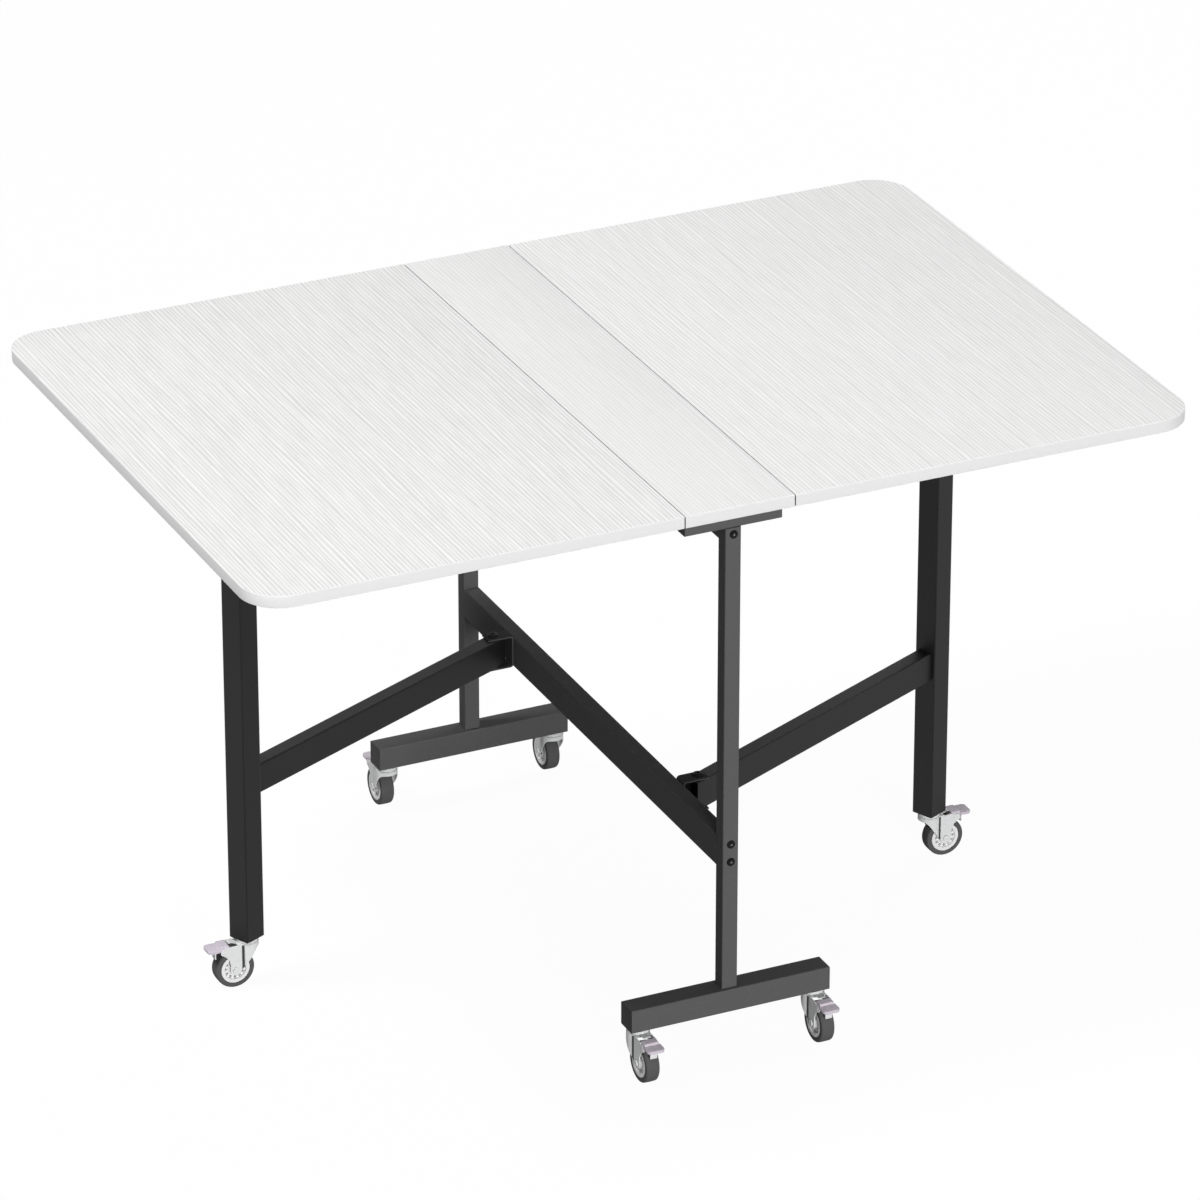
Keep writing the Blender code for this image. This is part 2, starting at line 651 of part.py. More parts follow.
def caster_fork():
    """A pressed fork: a round cup under the crown, with a cheek each side of the wheel.

    It is open behind the crown, trimmed to its side outline, and drilled for the kingpin, the axle and
    the pedal's pins.
    """
    reach = PIVOT_X + EAR_RADIUS + FORK_PLATE
    past = 4 * CHEEK_OUTSIDE
    outside = keyhole(FORK_CUP_RADIUS, FORK_NECK_RADIUS, CHEEK_OUTSIDE, reach)
    hollow = keyhole(
        FORK_CUP_RADIUS - FORK_PLATE, FORK_NECK_RADIUS + FORK_PLATE, FORK_GAP / 2, reach + FORK_PLATE
    )
    shell = placed(prism(outside, FORK_TOP), (0.0, 0.0, FORK_TOP / 2))
    inside = prism(hollow, 2 * CROWN_UNDERSIDE)
    open_top = placed(box(reach, FORK_GAP, FORK_TOP), (CROWN_LENGTH + reach / 2, 0.0, FORK_TOP))
    trim = placed(prism(cheek_outline(), past), FROM_SIDE)
    axle_hole = rod(AXLE_RADIUS + SEAT, past, SMALL_FACETS)
    placed(axle_hole, FROM_SIDE, (TRAIL, 0.0, WHEEL_RADIUS))
    pivot_hole = rod(PIVOT_RADIUS + SEAT, past, SMALL_FACETS)
    placed(pivot_hole, FROM_SIDE, (PIVOT_X, 0.0, PIVOT_Z))
    crown_hole = placed(rod(STEM_RADIUS + SEAT, past, PIN_FACETS), (0.0, 0.0, FORK_TOP))
    cup = combined(shell, "DIFFERENCE", inside, open_top)
    cup = combined(cup, "INTERSECT", trim)
    return combined(cup, "DIFFERENCE", axle_hole, pivot_hole, crown_hole)


def caster_wheel():
    """The wheel about its axle, along Y: round tyre shoulders, a recessed web and a wide hub."""
    bore = AXLE_RADIUS + SEAT
    hub = FORK_GAP / 2 - HUB_PLAY
    face = WHEEL_WIDTH / 2
    web = face - RIM_RECESS
    shoulder = TYRE_SHOULDER * cos(pi / 4)
    half = [
        (WHEEL_RADIUS, face - TYRE_SHOULDER),
        (WHEEL_RADIUS - TYRE_SHOULDER + shoulder, face - TYRE_SHOULDER + shoulder),
        (WHEEL_RADIUS - TYRE_SHOULDER, face),
        (RIM_RADIUS, face),
        (RIM_RADIUS, web),
        (HUB_RADIUS + RIM_RECESS, web),
        (HUB_RADIUS, hub),
        (bore, hub),
    ]
    profile = half[::-1] + [(radius, -height) for radius, height in half]
    return placed(turned(profile, WHEEL_FACETS, ring=True), FROM_SIDE)


def caster_axle():
    """A pin along Y through the fork's cheeks, with a low head on each side."""
    under = CHEEK_OUTSIDE + SEAT
    top = under + AXLE_HEAD_HEIGHT
    half = [
        (0.0, top),
        (AXLE_HEAD_RADIUS - AXLE_HEAD_CHAMFER, top),
        (AXLE_HEAD_RADIUS, top - AXLE_HEAD_CHAMFER),
        (AXLE_HEAD_RADIUS, under),
        (AXLE_RADIUS, under),
    ]
    profile = half + [(radius, -height) for radius, height in reversed(half)]
    return placed(turned(profile, SMALL_FACETS), FROM_SIDE)


def brake_pedal():
    """The pedal about its pivot, along Y, with a pin to each ear.

    Its tread has two steps and a tip with round corners. The plate that hangs from it is the brake shoe,
    which swings in against the back of the tyre.
    """
    tip_z = PEDAL_TOP - PEDAL_RISER
    tip_low = tip_z - PEDAL_TIP_THICKNESS
    past_tip = PEDAL_TIP + PEDAL_TIP_CORNER
    past_heel = -PEDAL_HEEL - PEDAL_TIP_CORNER
    riser_foot = PEDAL_STEP + PEDAL_RISER_RAKE
    side = [
        (-PEDAL_HEEL, PEDAL_TOP - 2 * PEDAL_CHAMFER),
        (-PEDAL_HEEL + PEDAL_CHAMFER, PEDAL_TOP),
        (PEDAL_STEP, PEDAL_TOP),
        (riser_foot, tip_z),
        (past_tip, tip_z),
        (past_tip, tip_low),
        (riser_foot, tip_low),
    ]
    side += arc((0.0, 0.0), PEDAL_HUB_RADIUS, -60, -180, BEND_FACETS)
    corner_x = PEDAL_TIP - PEDAL_TIP_CORNER
    corner_y = PEDAL_WIDTH / 2 - PEDAL_TIP_CORNER
    plan = [(past_heel, PEDAL_WIDTH / 2), (past_heel, -PEDAL_WIDTH / 2)]
    plan += arc((corner_x, -corner_y), PEDAL_TIP_CORNER, -90, 0, BEND_FACETS)
    plan += arc((corner_x, corner_y), PEDAL_TIP_CORNER, 0, 90, BEND_FACETS)
    tread = placed(prism(side[::-1], 2 * PEDAL_WIDTH), FROM_SIDE)
    tread = combined(tread, "INTERSECT", prism(plan, 4 * PEDAL_TIP))
    shoe_top = tip_low + PEDAL_TIP_THICKNESS / 2
    shoe = box(SHOE_PLATE, SHOE_WIDTH, shoe_top + SHOE_DROP)
    placed(shoe, (SHOE_SETOUT, 0.0, (shoe_top - SHOE_DROP) / 2))
    pin = placed(rod(PIVOT_RADIUS, 2 * CHEEK_OUTSIDE, SMALL_FACETS), FROM_SIDE)
    return combined(tread, "UNION", shoe, pin)


def make_caster(name, place, heading, stand):
    """A caster at place under stand, a pivot or None for the frame, its wheel trailing to heading."""
    part(f"{name}_caster_stem", caster_stem(), ZINC, stand, place)
    swivel = pivot(f"{name}_caster_swivel", place, heading, stand)
    part(f"{name}_caster_fork", caster_fork(), ZINC, swivel)
    axle = (TRAIL, 0.0, WHEEL_RADIUS)
    part(f"{name}_caster_wheel", caster_wheel(), TYRE_RUBBER, swivel, axle)
    part(f"{name}_caster_axle", caster_axle(), ZINC, swivel, axle)
    part(f"{name}_brake_pedal", brake_pedal(), PEDAL_PLASTIC, swivel, (PIVOT_X, 0.0, PIVOT_Z))


def make_table():
    make_top()
    make_rails()
    for end, y in (("front", -POST_Y), ("rear", POST_Y)):
        make_end_frame(end, y)
        for side, x in (("left", -CASTER_X), ("right", CASTER_X)):
            heading = pi / 2 if y > 0 else -pi / 2
            make_caster(f"{end}_{side}", (x, y, 0.0), heading, None)
    for side, turn in (("left", 0.0), ("right", pi)):
        swing = make_gate(side, turn)
        make_caster(f"{side}_leg", (-GATE_REACH, 0.0, 0.0), pi - GATE_ANGLE, swing)


make_table()
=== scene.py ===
"""Folding dining table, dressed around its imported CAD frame.

Metres, +Z up, floor at Z = 0, front towards -Y. Boards, casters and fasteners are surfaces worked
out with numpy. The tubes and hinges are the CAD solids with finished materials.
"""

import json
from math import pi, radians

import bpy
import numpy as np
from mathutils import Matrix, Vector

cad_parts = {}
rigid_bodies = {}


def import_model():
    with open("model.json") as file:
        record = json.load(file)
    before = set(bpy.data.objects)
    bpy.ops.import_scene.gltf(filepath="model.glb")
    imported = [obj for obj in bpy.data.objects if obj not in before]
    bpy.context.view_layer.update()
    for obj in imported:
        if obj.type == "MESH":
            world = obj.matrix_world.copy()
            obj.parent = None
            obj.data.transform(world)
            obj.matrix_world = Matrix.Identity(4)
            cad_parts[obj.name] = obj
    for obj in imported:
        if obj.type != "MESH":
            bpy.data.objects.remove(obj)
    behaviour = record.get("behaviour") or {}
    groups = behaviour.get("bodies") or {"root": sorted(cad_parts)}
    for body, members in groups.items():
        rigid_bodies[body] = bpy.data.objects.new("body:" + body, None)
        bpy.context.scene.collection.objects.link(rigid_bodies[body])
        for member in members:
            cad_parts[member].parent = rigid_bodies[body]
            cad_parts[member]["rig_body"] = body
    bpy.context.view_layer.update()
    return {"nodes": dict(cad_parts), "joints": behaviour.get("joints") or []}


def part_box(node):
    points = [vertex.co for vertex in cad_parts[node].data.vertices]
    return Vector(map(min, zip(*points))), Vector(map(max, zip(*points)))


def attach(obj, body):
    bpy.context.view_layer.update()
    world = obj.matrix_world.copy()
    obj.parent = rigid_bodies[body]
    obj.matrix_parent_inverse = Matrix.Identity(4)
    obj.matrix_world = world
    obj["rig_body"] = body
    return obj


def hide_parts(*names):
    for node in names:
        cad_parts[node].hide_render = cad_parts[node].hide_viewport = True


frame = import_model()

nodes = frame["nodes"]
joint_place = {joint["name"]: np.array(joint["pos_m"]) for joint in frame["joints"]}

# Casters by name, and the outward direction of each end and side of the table
CASTERS = ("front_left", "front_right", "rear_left", "rear_right", "left_leg", "right_leg")
ENDS = {"front": -1.0, "rear": 1.0}
SIDES = {"left": -1.0, "right": 1.0}

# Boards
LEAF_CORNER_RADIUS = 0.050
SEAM_CORNER_RADIUS = 0.0010
BOARD_EASE = 0.0008

# Casters, measured along the trail and up from the floor
WHEEL_RADIUS = 0.025
TYRE_HALF_WIDTH = 0.0086
RIM_EDGE_RADIUS = 0.0185
TRAIL = 0.019
FORK_PLATE = 0.0012
FORK_CUP_RADIUS = 0.0142
FORK_NECK_RADIUS = 0.005
CHEEK_OUTSIDE = 0.0107
FORK_TOP = 0.0576
CHEEK_TOP = 0.0572
CROWN_LENGTH = 0.0165
CROWN_EASE = 0.0004
NOSE_RIM = 0.0523
NOSE_FILLET = 0.009
BOSS_RADIUS = 0.0072
RAKE = 55.0
REAR_FILLET = 0.016
PIVOT = (0.034, 0.0512)
EAR_RADIUS = 0.0044
EAR_STEP = 0.0284
STEM_TOP = 0.0876
RACE_TOP = 0.0623
RACE_BOTTOM = 0.0579
RACE_RADIUS = 0.0135
KINGPIN_RADIUS = 0.0040

# Hollow neck between a fork's cup and its cheek: its centre, where the cup runs into it, and both lengths
NECK_Y = CHEEK_OUTSIDE + FORK_NECK_RADIUS
NECK_X = np.sqrt((FORK_CUP_RADIUS + FORK_NECK_RADIUS) ** 2 - NECK_Y**2)
NECK_MEET = np.arctan2(NECK_Y, NECK_X)
CUP_LENGTH = FORK_CUP_RADIUS * (pi - NECK_MEET)
NECK_LENGTH = FORK_NECK_RADIUS * (0.5 * pi - NECK_MEET)

# Painted shade: a dark band drawn on a fork's hollow neck, where shade falls: its attribute, and where it
# lies along the trail
PAINTED_SHADE_ATTRIBUTE = "painted_neck_shade"
PAINTED_SHADE_FROM = 0.0076
PAINTED_SHADE_TO = 0.0113
PAINTED_SHADE_FADE = 0.0005

# Fasteners
POST_BOLT_HEIGHTS = (0.2608, 0.2840, 0.6862)
POST_BOLT_RADIUS = 0.0052
POST_BOLT_HEIGHT = 0.0026
POST_BOLT_SOCKET = 0.0016
HINGE_SCREW_SPACING = 0.036
CROSSBAR_SCREW_SPACING = 0.090
SCREW_HEAD_RADIUS = 0.0036
SCREW_HEAD_HEIGHT = 0.0016
HINGE_PLATE = 0.0015
HINGE_PLATE_REACH = 0.0247
GATE_BOLT_RADIUS = 0.0040
GATE_HEAD_RADIUS = 0.0064
GATE_HEAD_HEIGHT = 0.0035
GATE_SOCKET = 0.0020
GATE_TAIL_RADIUS = 0.0060
GATE_TAIL_HEIGHT = 0.0018
GATE_PIN_NUT = 0.0065

# Laminate grain to the metre, and the phase in radians that Blender's wave node adds per unit
STREAKS_PER_METRE = 198.0
THREADS_PER_METRE = (850.0, 20.0, 850.0)
CLOUDS_PER_METRE = (9.0, 2.2, 9.0)
WAVE_NODE_PITCH = 20.0

# Camera at the photograph's place and angle
CAMERA_PLACE = (-3.40823, -7.33612, 4.37574)
CAMERA_AZIMUTH = -24.9725
CAMERA_ELEVATION = 25.9047
CAMERA_LENS = 224.232
CAMERA_SHIFT = (0.0003, -0.0084)

# Sky's fill, the floor's bounce, and the share of the object's shadow that the floor shows
SKY_FILL = 0.135
FLOOR_BOUNCE = 0.24
SHADOW_SHARE = 0.04
WHITE = (1.0, 1.0, 1.0, 1.0)

FOLD_ANGLE = 38.0
UP = np.array([0.0, 0.0, 1.0])


def mesh_object(name, points, faces, finish_index=None):
    """Makes an object at the origin from points and face corners, shaded smooth but for folds and caps."""
    mesh = bpy.data.meshes.new(name)
    mesh.from_pydata(points.reshape(-1, 3).tolist(), [], [list(map(int, face)) for face in faces])
    mesh.polygons.foreach_set("use_smooth", np.array([len(face) == 4 for face in faces]))
    if finish_index is not None:
        mesh.polygons.foreach_set("material_index", np.asarray(finish_index, np.int32))
    mesh.set_sharp_from_angle(angle=radians(FOLD_ANGLE))
    mesh.update()
    obj = bpy.data.objects.new(name, mesh)
    bpy.context.scene.collection.objects.link(obj)
    return obj


def grid_faces(rows, columns, wrap_rows=False, wrap_columns=False):
    """Quads of a grid of rows by columns, each from a point, its right neighbour and the row above."""
    index = np.arange(rows * columns).reshape(rows, columns)
    if wrap_rows:
        index = np.vstack([index, index[:1]])
    if wrap_columns:
        index = np.hstack([index, index[:, :1]])
    quads = np.stack([index[:-1, :-1], index[:-1, 1:], index[1:, 1:], index[1:, :-1]], axis=-1)
    return quads.reshape(-1, 4)


def capped_faces(rows, columns):
    """Quads of a stack of closed rings, with one face across the lowest ring and one across the last."""
    faces = grid_faces(rows, columns, wrap_columns=True).tolist()
    faces.append(list(range(columns))[::-1])
    faces.append(list(range((rows - 1) * columns, rows * columns)))
    return faces


def shell_faces(rows, columns):
    """Quads of a sheet with two sides: the outer grid, the inner grid turned over, and the rim's wall."""
    count = rows * columns
    outer = grid_faces(rows, columns)
    index = np.arange(count).reshape(rows, columns)
    rim = np.concatenate([index[0, :-1], index[:-1, -1], index[-1, :0:-1], index[:0:-1, 0]])
    after = np.roll(rim, -1)
    wall = np.stack([after, rim, rim + count, after + count], axis=-1)
    return np.concatenate([outer, outer[:, ::-1] + count, wall])


def arc(centre, radius, start, end, count):
    """Points on a circle about a centre, from one angle in degrees to another."""
    angle = np.radians(np.linspace(start, end, count))
    return np.stack([centre[0] + radius * np.cos(angle), centre[1] + radius * np.sin(angle)], axis=-1)


def carried_round(radii, heights, steps=64):
    """Rings about Z: a point lies at radii * (cos a, sin a) and its height, for a going round in steps.

    Radii and heights are given by the row, or by the row and the step."""
    radii = np.asarray(radii, float)
    heights = np.asarray(heights, float)
    radii = radii[:, None] if radii.ndim == 1 else radii
    heights = heights[:, None] if heights.ndim == 1 else heights
    angle = np.arange(steps) * 2.0 * pi / steps
    radii, heights = np.broadcast_arrays(radii, heights + 0.0 * angle)
    return np.stack([radii * np.cos(angle), radii * np.sin(angle), heights], axis=-1)


def stood(points, origin, along_z, along_x=UP):
    """Points turned so that their Z runs along one direction and their X along another, then moved."""
    along_z = np.asarray(along_z, float)
    axes = np.stack([along_x, np.cross(along_z, along_x), along_z])
    return points @ axes + np.asarray(origin, float)


def dress(obj, body, materials, replaced=()):
    """Gives a new piece its materials and body, and hides the CAD nodes that it stands for."""
    for finish in materials:
        obj.data.materials.append(finish)
    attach(obj, body)
    if replaced:
        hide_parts(*replaced)


def new_finish(name, colour, roughness, metallic=0.0, specular=0.5):
    """A Principled material, with its plain values on the shader's own sockets."""
    finish = bpy.data.materials.new(name)
    finish.use_nodes = True
    shader = finish.node_tree.nodes["Principled BSDF"]
    shader.inputs["Base Color"].default_value = (*colour, 1.0)
    shader.inputs["Roughness"].default_value = roughness
    shader.inputs["Metallic"].default_value = metallic
    shader.inputs["Specular IOR Level"].default_value = specular
    return finish, shader


def grain_field(finish, stretch, detail=3.0, roughness=0.55):
    """Noise on Object coordinates, with its own number of cells to the metre along X, Y and Z."""
    tree = finish.node_tree
    place = tree.nodes.new("ShaderNodeTexCoord")
    scale = tree.nodes.new("ShaderNodeMapping")
    scale.inputs["Scale"].default_value = stretch
    noise = tree.nodes.new("ShaderNodeTexNoise")
    noise.inputs["Scale"].default_value = 1.0
    noise.inputs["Detail"].default_value = detail
    noise.inputs["Roughness"].default_value = roughness
    tree.links.new(place.outputs["Object"], scale.inputs["Vector"])
    tree.links.new(scale.outputs["Vector"], noise.inputs["Vector"])
    return noise.outputs["Fac"]


def band_field(finish, per_metre, wander, drift):
    """Sine bands across X, so many to the metre, that wander by a noise with so many cells along Y."""
    tree = finish.node_tree
    place = tree.nodes.new("ShaderNodeTexCoord")
    scale = tree.nodes.new("ShaderNodeMapping")
    pitch = per_metre * 2.0 * pi / WAVE_NODE_PITCH
    scale.inputs["Scale"].default_value = (pitch, drift, pitch)
    wave = tree.nodes.new("ShaderNodeTexWave")
    wave.inputs["Scale"].default_value = 1.0
    wave.inputs["Distortion"].default_value = wander
    wave.inputs["Detail"].default_value = 1.0
    wave.inputs["Detail Scale"].default_value = 1.0
    tree.links.new(place.outputs["Object"], scale.inputs["Vector"])
    tree.links.new(scale.outputs["Vector"], wave.inputs["Vector"])
    return wave.outputs["Fac"]


def colour_ramp(finish, field, stops):
    """Colours laid along a field, from pairs of place and colour."""
    ramp = finish.node_tree.nodes.new("ShaderNodeValToRGB")
    elements = ramp.color_ramp.elements
    while len(elements) < len(stops):
        elements.new(0.5)
    for element, (place, colour) in zip(elements, stops):
        element.position = place
        element.color = (*colour, 1.0)
    finish.node_tree.links.new(field, ramp.inputs["Fac"])
    return ramp.outputs["Color"]


def mixed(finish, first, second, share, mode="MIX"):
    """Two colours mixed by a share, in one of Blender's modes."""
    mix = finish.node_tree.nodes.new("ShaderNodeMix")
    mix.data_type = "RGBA"
    mix.blend_type = mode
    mix.inputs["Factor"].default_value = share
    finish.node_tree.links.new(first, mix.inputs["A"])
    finish.node_tree.links.new(second, mix.inputs["B"])
    return mix.outputs["Result"]


def ranged(finish, field, low, high):
    """A field from 0 to 1 spread between two values."""
    span = finish.node_tree.nodes.new("ShaderNodeMapRange")
    span.inputs["To Min"].default_value = low
    span.inputs["To Max"].default_value = high
    finish.node_tree.links.new(field, span.inputs["Value"])
    return span.outputs["Result"]


def embossed(finish, shader, field, strength, depth):
    """Bump of a given depth in metres on a finish's surface."""
    bump = finish.node_tree.nodes.new("ShaderNodeBump")
    bump.inputs["Strength"].default_value = strength
    bump.inputs["Distance"].default_value = depth
    finish.node_tree.links.new(field, bump.inputs["Height"])
    finish.node_tree.links.new(bump.outputs["Normal"], shader.inputs["Normal"])


def grey(value):
    """A neutral colour."""
    return (value, value, value)


def laminate_finish(name, contrast):
    """White melamine face: streaks along Y that wander a little, threads between them and a soft sheen."""
    mean = 0.835
    half = contrast / 2
    warmth = 0.004
    thread_share = 0.35
    finish, shader = new_finish(name, grey(mean), 0.50, specular=0.08)
    bands = band_field(finish, STREAKS_PER_METRE, wander=6.0, drift=2.0)
    fine = grain_field(finish, THREADS_PER_METRE, detail=1.0)
    cloudy = grain_field(finish, CLOUDS_PER_METRE, detail=2.0)
    light = (mean + half, mean + half, mean + half - warmth)
    dark = (mean - half, mean - half, mean - half - warmth)
    streaks = colour_ramp(finish, bands, [(0.0, dark), (1.0, light)])
    threads = colour_ramp(finish, fine, [(0.36, dark), (0.64, light)])
    haze = colour_ramp(finish, cloudy, [(0.30, grey(0.99)), (0.65, grey(1.0))])
    both = mixed(finish, streaks, threads, thread_share)
    tinted = mixed(finish, both, haze, 1.0, mode="MULTIPLY")
    finish.node_tree.links.new(tinted, shader.inputs["Base Color"])
    sheen = ranged(finish, fine, 0.44, 0.58)
    finish.node_tree.links.new(sheen, shader.inputs["Roughness"])
    embossed(finish, shader, fine, 0.08, 0.0001)
    return finish


def edge_band_finish(name, tone):
    """Plain plastic edge strip of a given tone with a slight orange peel."""
    finish, shader = new_finish(name, grey(tone), 0.38, specular=0.3)
    peel = grain_field(finish, (900.0, 900.0, 900.0), detail=2.0)
    stops = [(0.3, grey(0.98 * tone)), (0.7, grey(1.02 * tone))]
    finish.node_tree.links.new(colour_ramp(finish, peel, stops), shader.inputs["Base Color"])
    embossed(finish, shader, peel, 0.10, 0.0001)
    return finish


def powder_coat_finish(name, tone, specular):
    """Powder coat of a given tone and gloss: a skin with fine orange peel and paler specks."""
    finish, shader = new_finish(name, grey(tone), 0.50, specular=specular)
    peel = grain_field(finish, (1100.0, 1100.0, 1100.0), detail=3.0, roughness=0.65)
    stops = [(0.30, grey(0.84 * tone)), (0.60, grey(tone)), (0.74, grey(1.25 * tone))]
    finish.node_tree.links.new(colour_ramp(finish, peel, stops), shader.inputs["Base Color"])
    finish.node_tree.links.new(ranged(finish, peel, 0.42, 0.58), shader.inputs["Roughness"])
    embossed(finish, shader, peel, 0.25, 0.0002)
    return finish


def zinc_finish(name, with_painted_shade=False):
    """Zinc plate on pressed steel with a faint uneven polish, and if asked painted shade: a dark band
    along a fork's neck.
    """
    finish, shader = new_finish(name, (0.80, 0.805, 0.81), 0.30, metallic=0.04, specular=0.03)
    cloud = grain_field(finish, (260.0, 260.0, 260.0), detail=3.0)
    tone = colour_ramp(finish, cloud, [(0.3, (0.78, 0.785, 0.79)), (0.7, (0.83, 0.835, 0.84))])
    if with_painted_shade:
        tree = finish.node_tree
        # Painted shade: the attribute darkens the zinc to near black along the neck
        painted_neck_shade = tree.nodes.new("ShaderNodeAttribute")
        painted_neck_shade.attribute_name = PAINTED_SHADE_ATTRIBUTE
        painted_shade_mix = tree.nodes.new("ShaderNodeMix")
        painted_shade_mix.data_type = "RGBA"
        painted_shade_mix.inputs["B"].default_value = (0.060, 0.061, 0.064, 1.0)
        tree.links.new(painted_neck_shade.outputs["Fac"], painted_shade_mix.inputs["Factor"])
        tree.links.new(tone, painted_shade_mix.inputs["A"])
        tone = painted_shade_mix.outputs["Result"]
    finish.node_tree.links.new(tone, shader.inputs["Base Color"])
    finish.node_tree.links.new(ranged(finish, cloud, 0.22, 0.38), shader.inputs["Roughness"])
    return finish


def moulded_finish(name, colour, roughness, specular=0.4, spread=0.06):
    """Moulded plastic or rubber: a little mottled, with a fine spark-eroded skin."""
    finish, shader = new_finish(name, colour, roughness, specular=specular)
    skin = grain_field(finish, (1400.0, 1400.0, 1400.0), detail=2.0)
    dark = tuple(channel * (1.0 - spread) for channel in colour)
    light = tuple(channel * (1.0 + spread) for channel in colour)
    tone = colour_ramp(finish, skin, [(0.3, dark), (0.7, light)])
    finish.node_tree.links.new(tone, shader.inputs["Base Color"])
    polish = ranged(finish, skin, roughness - 0.06, roughness + 0.06)
    finish.node_tree.links.new(polish, shader.inputs["Roughness"])
    embossed(finish, shader, skin, 0.2, 0.0001)
    return finish


LAMINATE_LEFT = laminate_finish("laminate_left", 0.28)
LAMINATE_CENTRE = laminate_finish("laminate_centre", 0.14)
LAMINATE_RIGHT = laminate_finish("laminate_right", 0.22)
EDGE_BAND = edge_band_finish("edge_band", 0.825)
# Painted shade: a dark grey for the seam walls, so the seams between boards read dark
SEAM_PAINTED_SHADE = edge_band_finish("seam_painted_shade", 0.33)
POWDER_COAT = powder_coat_finish("powder_coat", 0.120, 0.0)
GATE_COAT = powder_coat_finish("gate_powder_coat", 0.010, 0.22)
BRACKET_COAT = powder_coat_finish("bracket_powder_coat", 0.075, 0.0)
ZINC = zinc_finish("zinc")
# The forks' zinc, with painted shade along the neck
FORK_ZINC_PAINTED_SHADE = zinc_finish("fork_zinc_painted_shade", with_painted_shade=True)
TYRE = moulded_finish("tyre", grey(0.110), 0.62, specular=0.02)
RIM = moulded_finish("rim", grey(0.90), 0.30, specular=0.2, spread=0.02)
PEDAL = moulded_finish("pedal_plastic", (0.665, 0.605, 0.680), 0.48, specular=0.15)
BLACK_PLASTIC = moulded_finish("black_plastic", grey(0.016), 0.5)
BLACK_BOLT = moulded_finish("black_bolt", grey(0.012), 0.40, specular=0.06)
# Painted highlight: a lighter grey on the floor of the post bolts' sockets
SOCKET_PAINTED_HIGHLIGHT = moulded_finish("bolt_socket_painted_highlight", grey(0.16), 0.45, specular=0.1)

# Finish of a CAD node by the first of these words in its name, and else the powder coat
NODE_FINISHES = {
    "gate_arm": GATE_COAT,
    "gate_leg": GATE_COAT,
    "gate_bracket": BRACKET_COAT,
    "gate_pin": BLACK_BOLT,
    "wheel": TYRE,
    "pedal": PEDAL,
    "caster": ZINC,
    "hinge": ZINC,
    "cap": BLACK_PLASTIC,
    "panel": LAMINATE_CENTRE,
    "leaf": LAMINATE_CENTRE,
}


def rounded_outline(low, high, radii, per_corner=24):
    """A rectangle with a rounded corner at each end, anticlockwise from the low corner.

    Each corner is a quarter circle of its own radius about a centre drawn in by that radius. The outward
    direction at each point comes with it."""
    corners = np.array([[low[0], low[1]], [high[0], low[1]], [high[0], high[1]], [low[0], high[1]]], float)
    inward = np.array([[1, 1], [-1, 1], [-1, -1], [1, -1]], float)
    starts = np.array([pi, 1.5 * pi, 0.0, 0.5 * pi])
    radii = np.asarray(radii, float)
    turn = starts[:, None] + np.linspace(0.0, 0.5 * pi, per_corner)[None, :]
    middle = corners + inward * radii[:, None]
    outward = np.stack([np.cos(turn), np.sin(turn)], axis=-1)
    points = middle[:, None, :] + radii[:, None, None] * outward
    return points.reshape(-1, 2), outward.reshape(-1, 2)


def eased_rings(points, outward, low, high, ease):
    """Rings of an outline from a low height to a high one, with its two rims rounded over.

    A ring is the outline drawn in by ease * (1 - cos a) at ease * (1 - sin a) from its rim, for a over a
    quarter turn at the bottom and back again at the top."""
    angle = np.linspace(0.0, 0.5 * pi, 5)
    inset = ease * np.concatenate([1 - np.cos(angle[::-1]), 1 - np.cos(angle)])
    from_low = low + ease * (1 - np.sin(angle[::-1]))
    from_high = high - ease * (1 - np.sin(angle))
    height = np.concatenate([from_low, from_high])
    plan = points[None, :, :] - inset[:, None, None] * outward[None, :, :]
    return np.concatenate([plan, np.broadcast_to(height[:, None, None], plan.shape[:2] + (1,))], axis=-1)


def make_board(name, body, radii, face_finish, seams):
    """A board with eased rims in place of its node: laminate faces, white edges, and painted shade at the
    seams: a dark grey band along each seam wall.
    """
    low, high = (np.array(corner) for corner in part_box(name))
    points, outward = rounded_outline(low, high, radii)
    rings = eased_rings(points, outward, low[2], high[2], BOARD_EASE)
    rows, columns = rings.shape[:2]
    edge = np.ones((rows - 1, columns))
    facing = outward[:, 0] + np.roll(outward[:, 0], -1)
    for side in seams:
        # Painted shade: the straight part of each seam wall takes the dark seam finish
        edge[(rows - 1) // 2, side * facing > 1.9] = 2
    finish_index = np.concatenate([edge.reshape(-1), [0, 0]])
    obj = mesh_object(name + "_board", rings, capped_faces(rows, columns), finish_index)
    dress(obj, body, [face_finish, EDGE_BAND, SEAM_PAINTED_SHADE], [name])


def make_top():
    """The centre panel and the leaves, square along the seams and round at the outer corners."""
    seam, corner = SEAM_CORNER_RADIUS, LEAF_CORNER_RADIUS
    make_board("centre_panel", "frame", [seam, seam, seam, seam], LAMINATE_CENTRE, (-1.0, 1.0))
    make_board("left_leaf", "left_leaf", [corner, seam, seam, corner], LAMINATE_LEFT, (1.0,))
    make_board("right_leaf", "right_leaf", [seam, corner, corner, seam], LAMINATE_RIGHT, (-1.0,))


# Casters


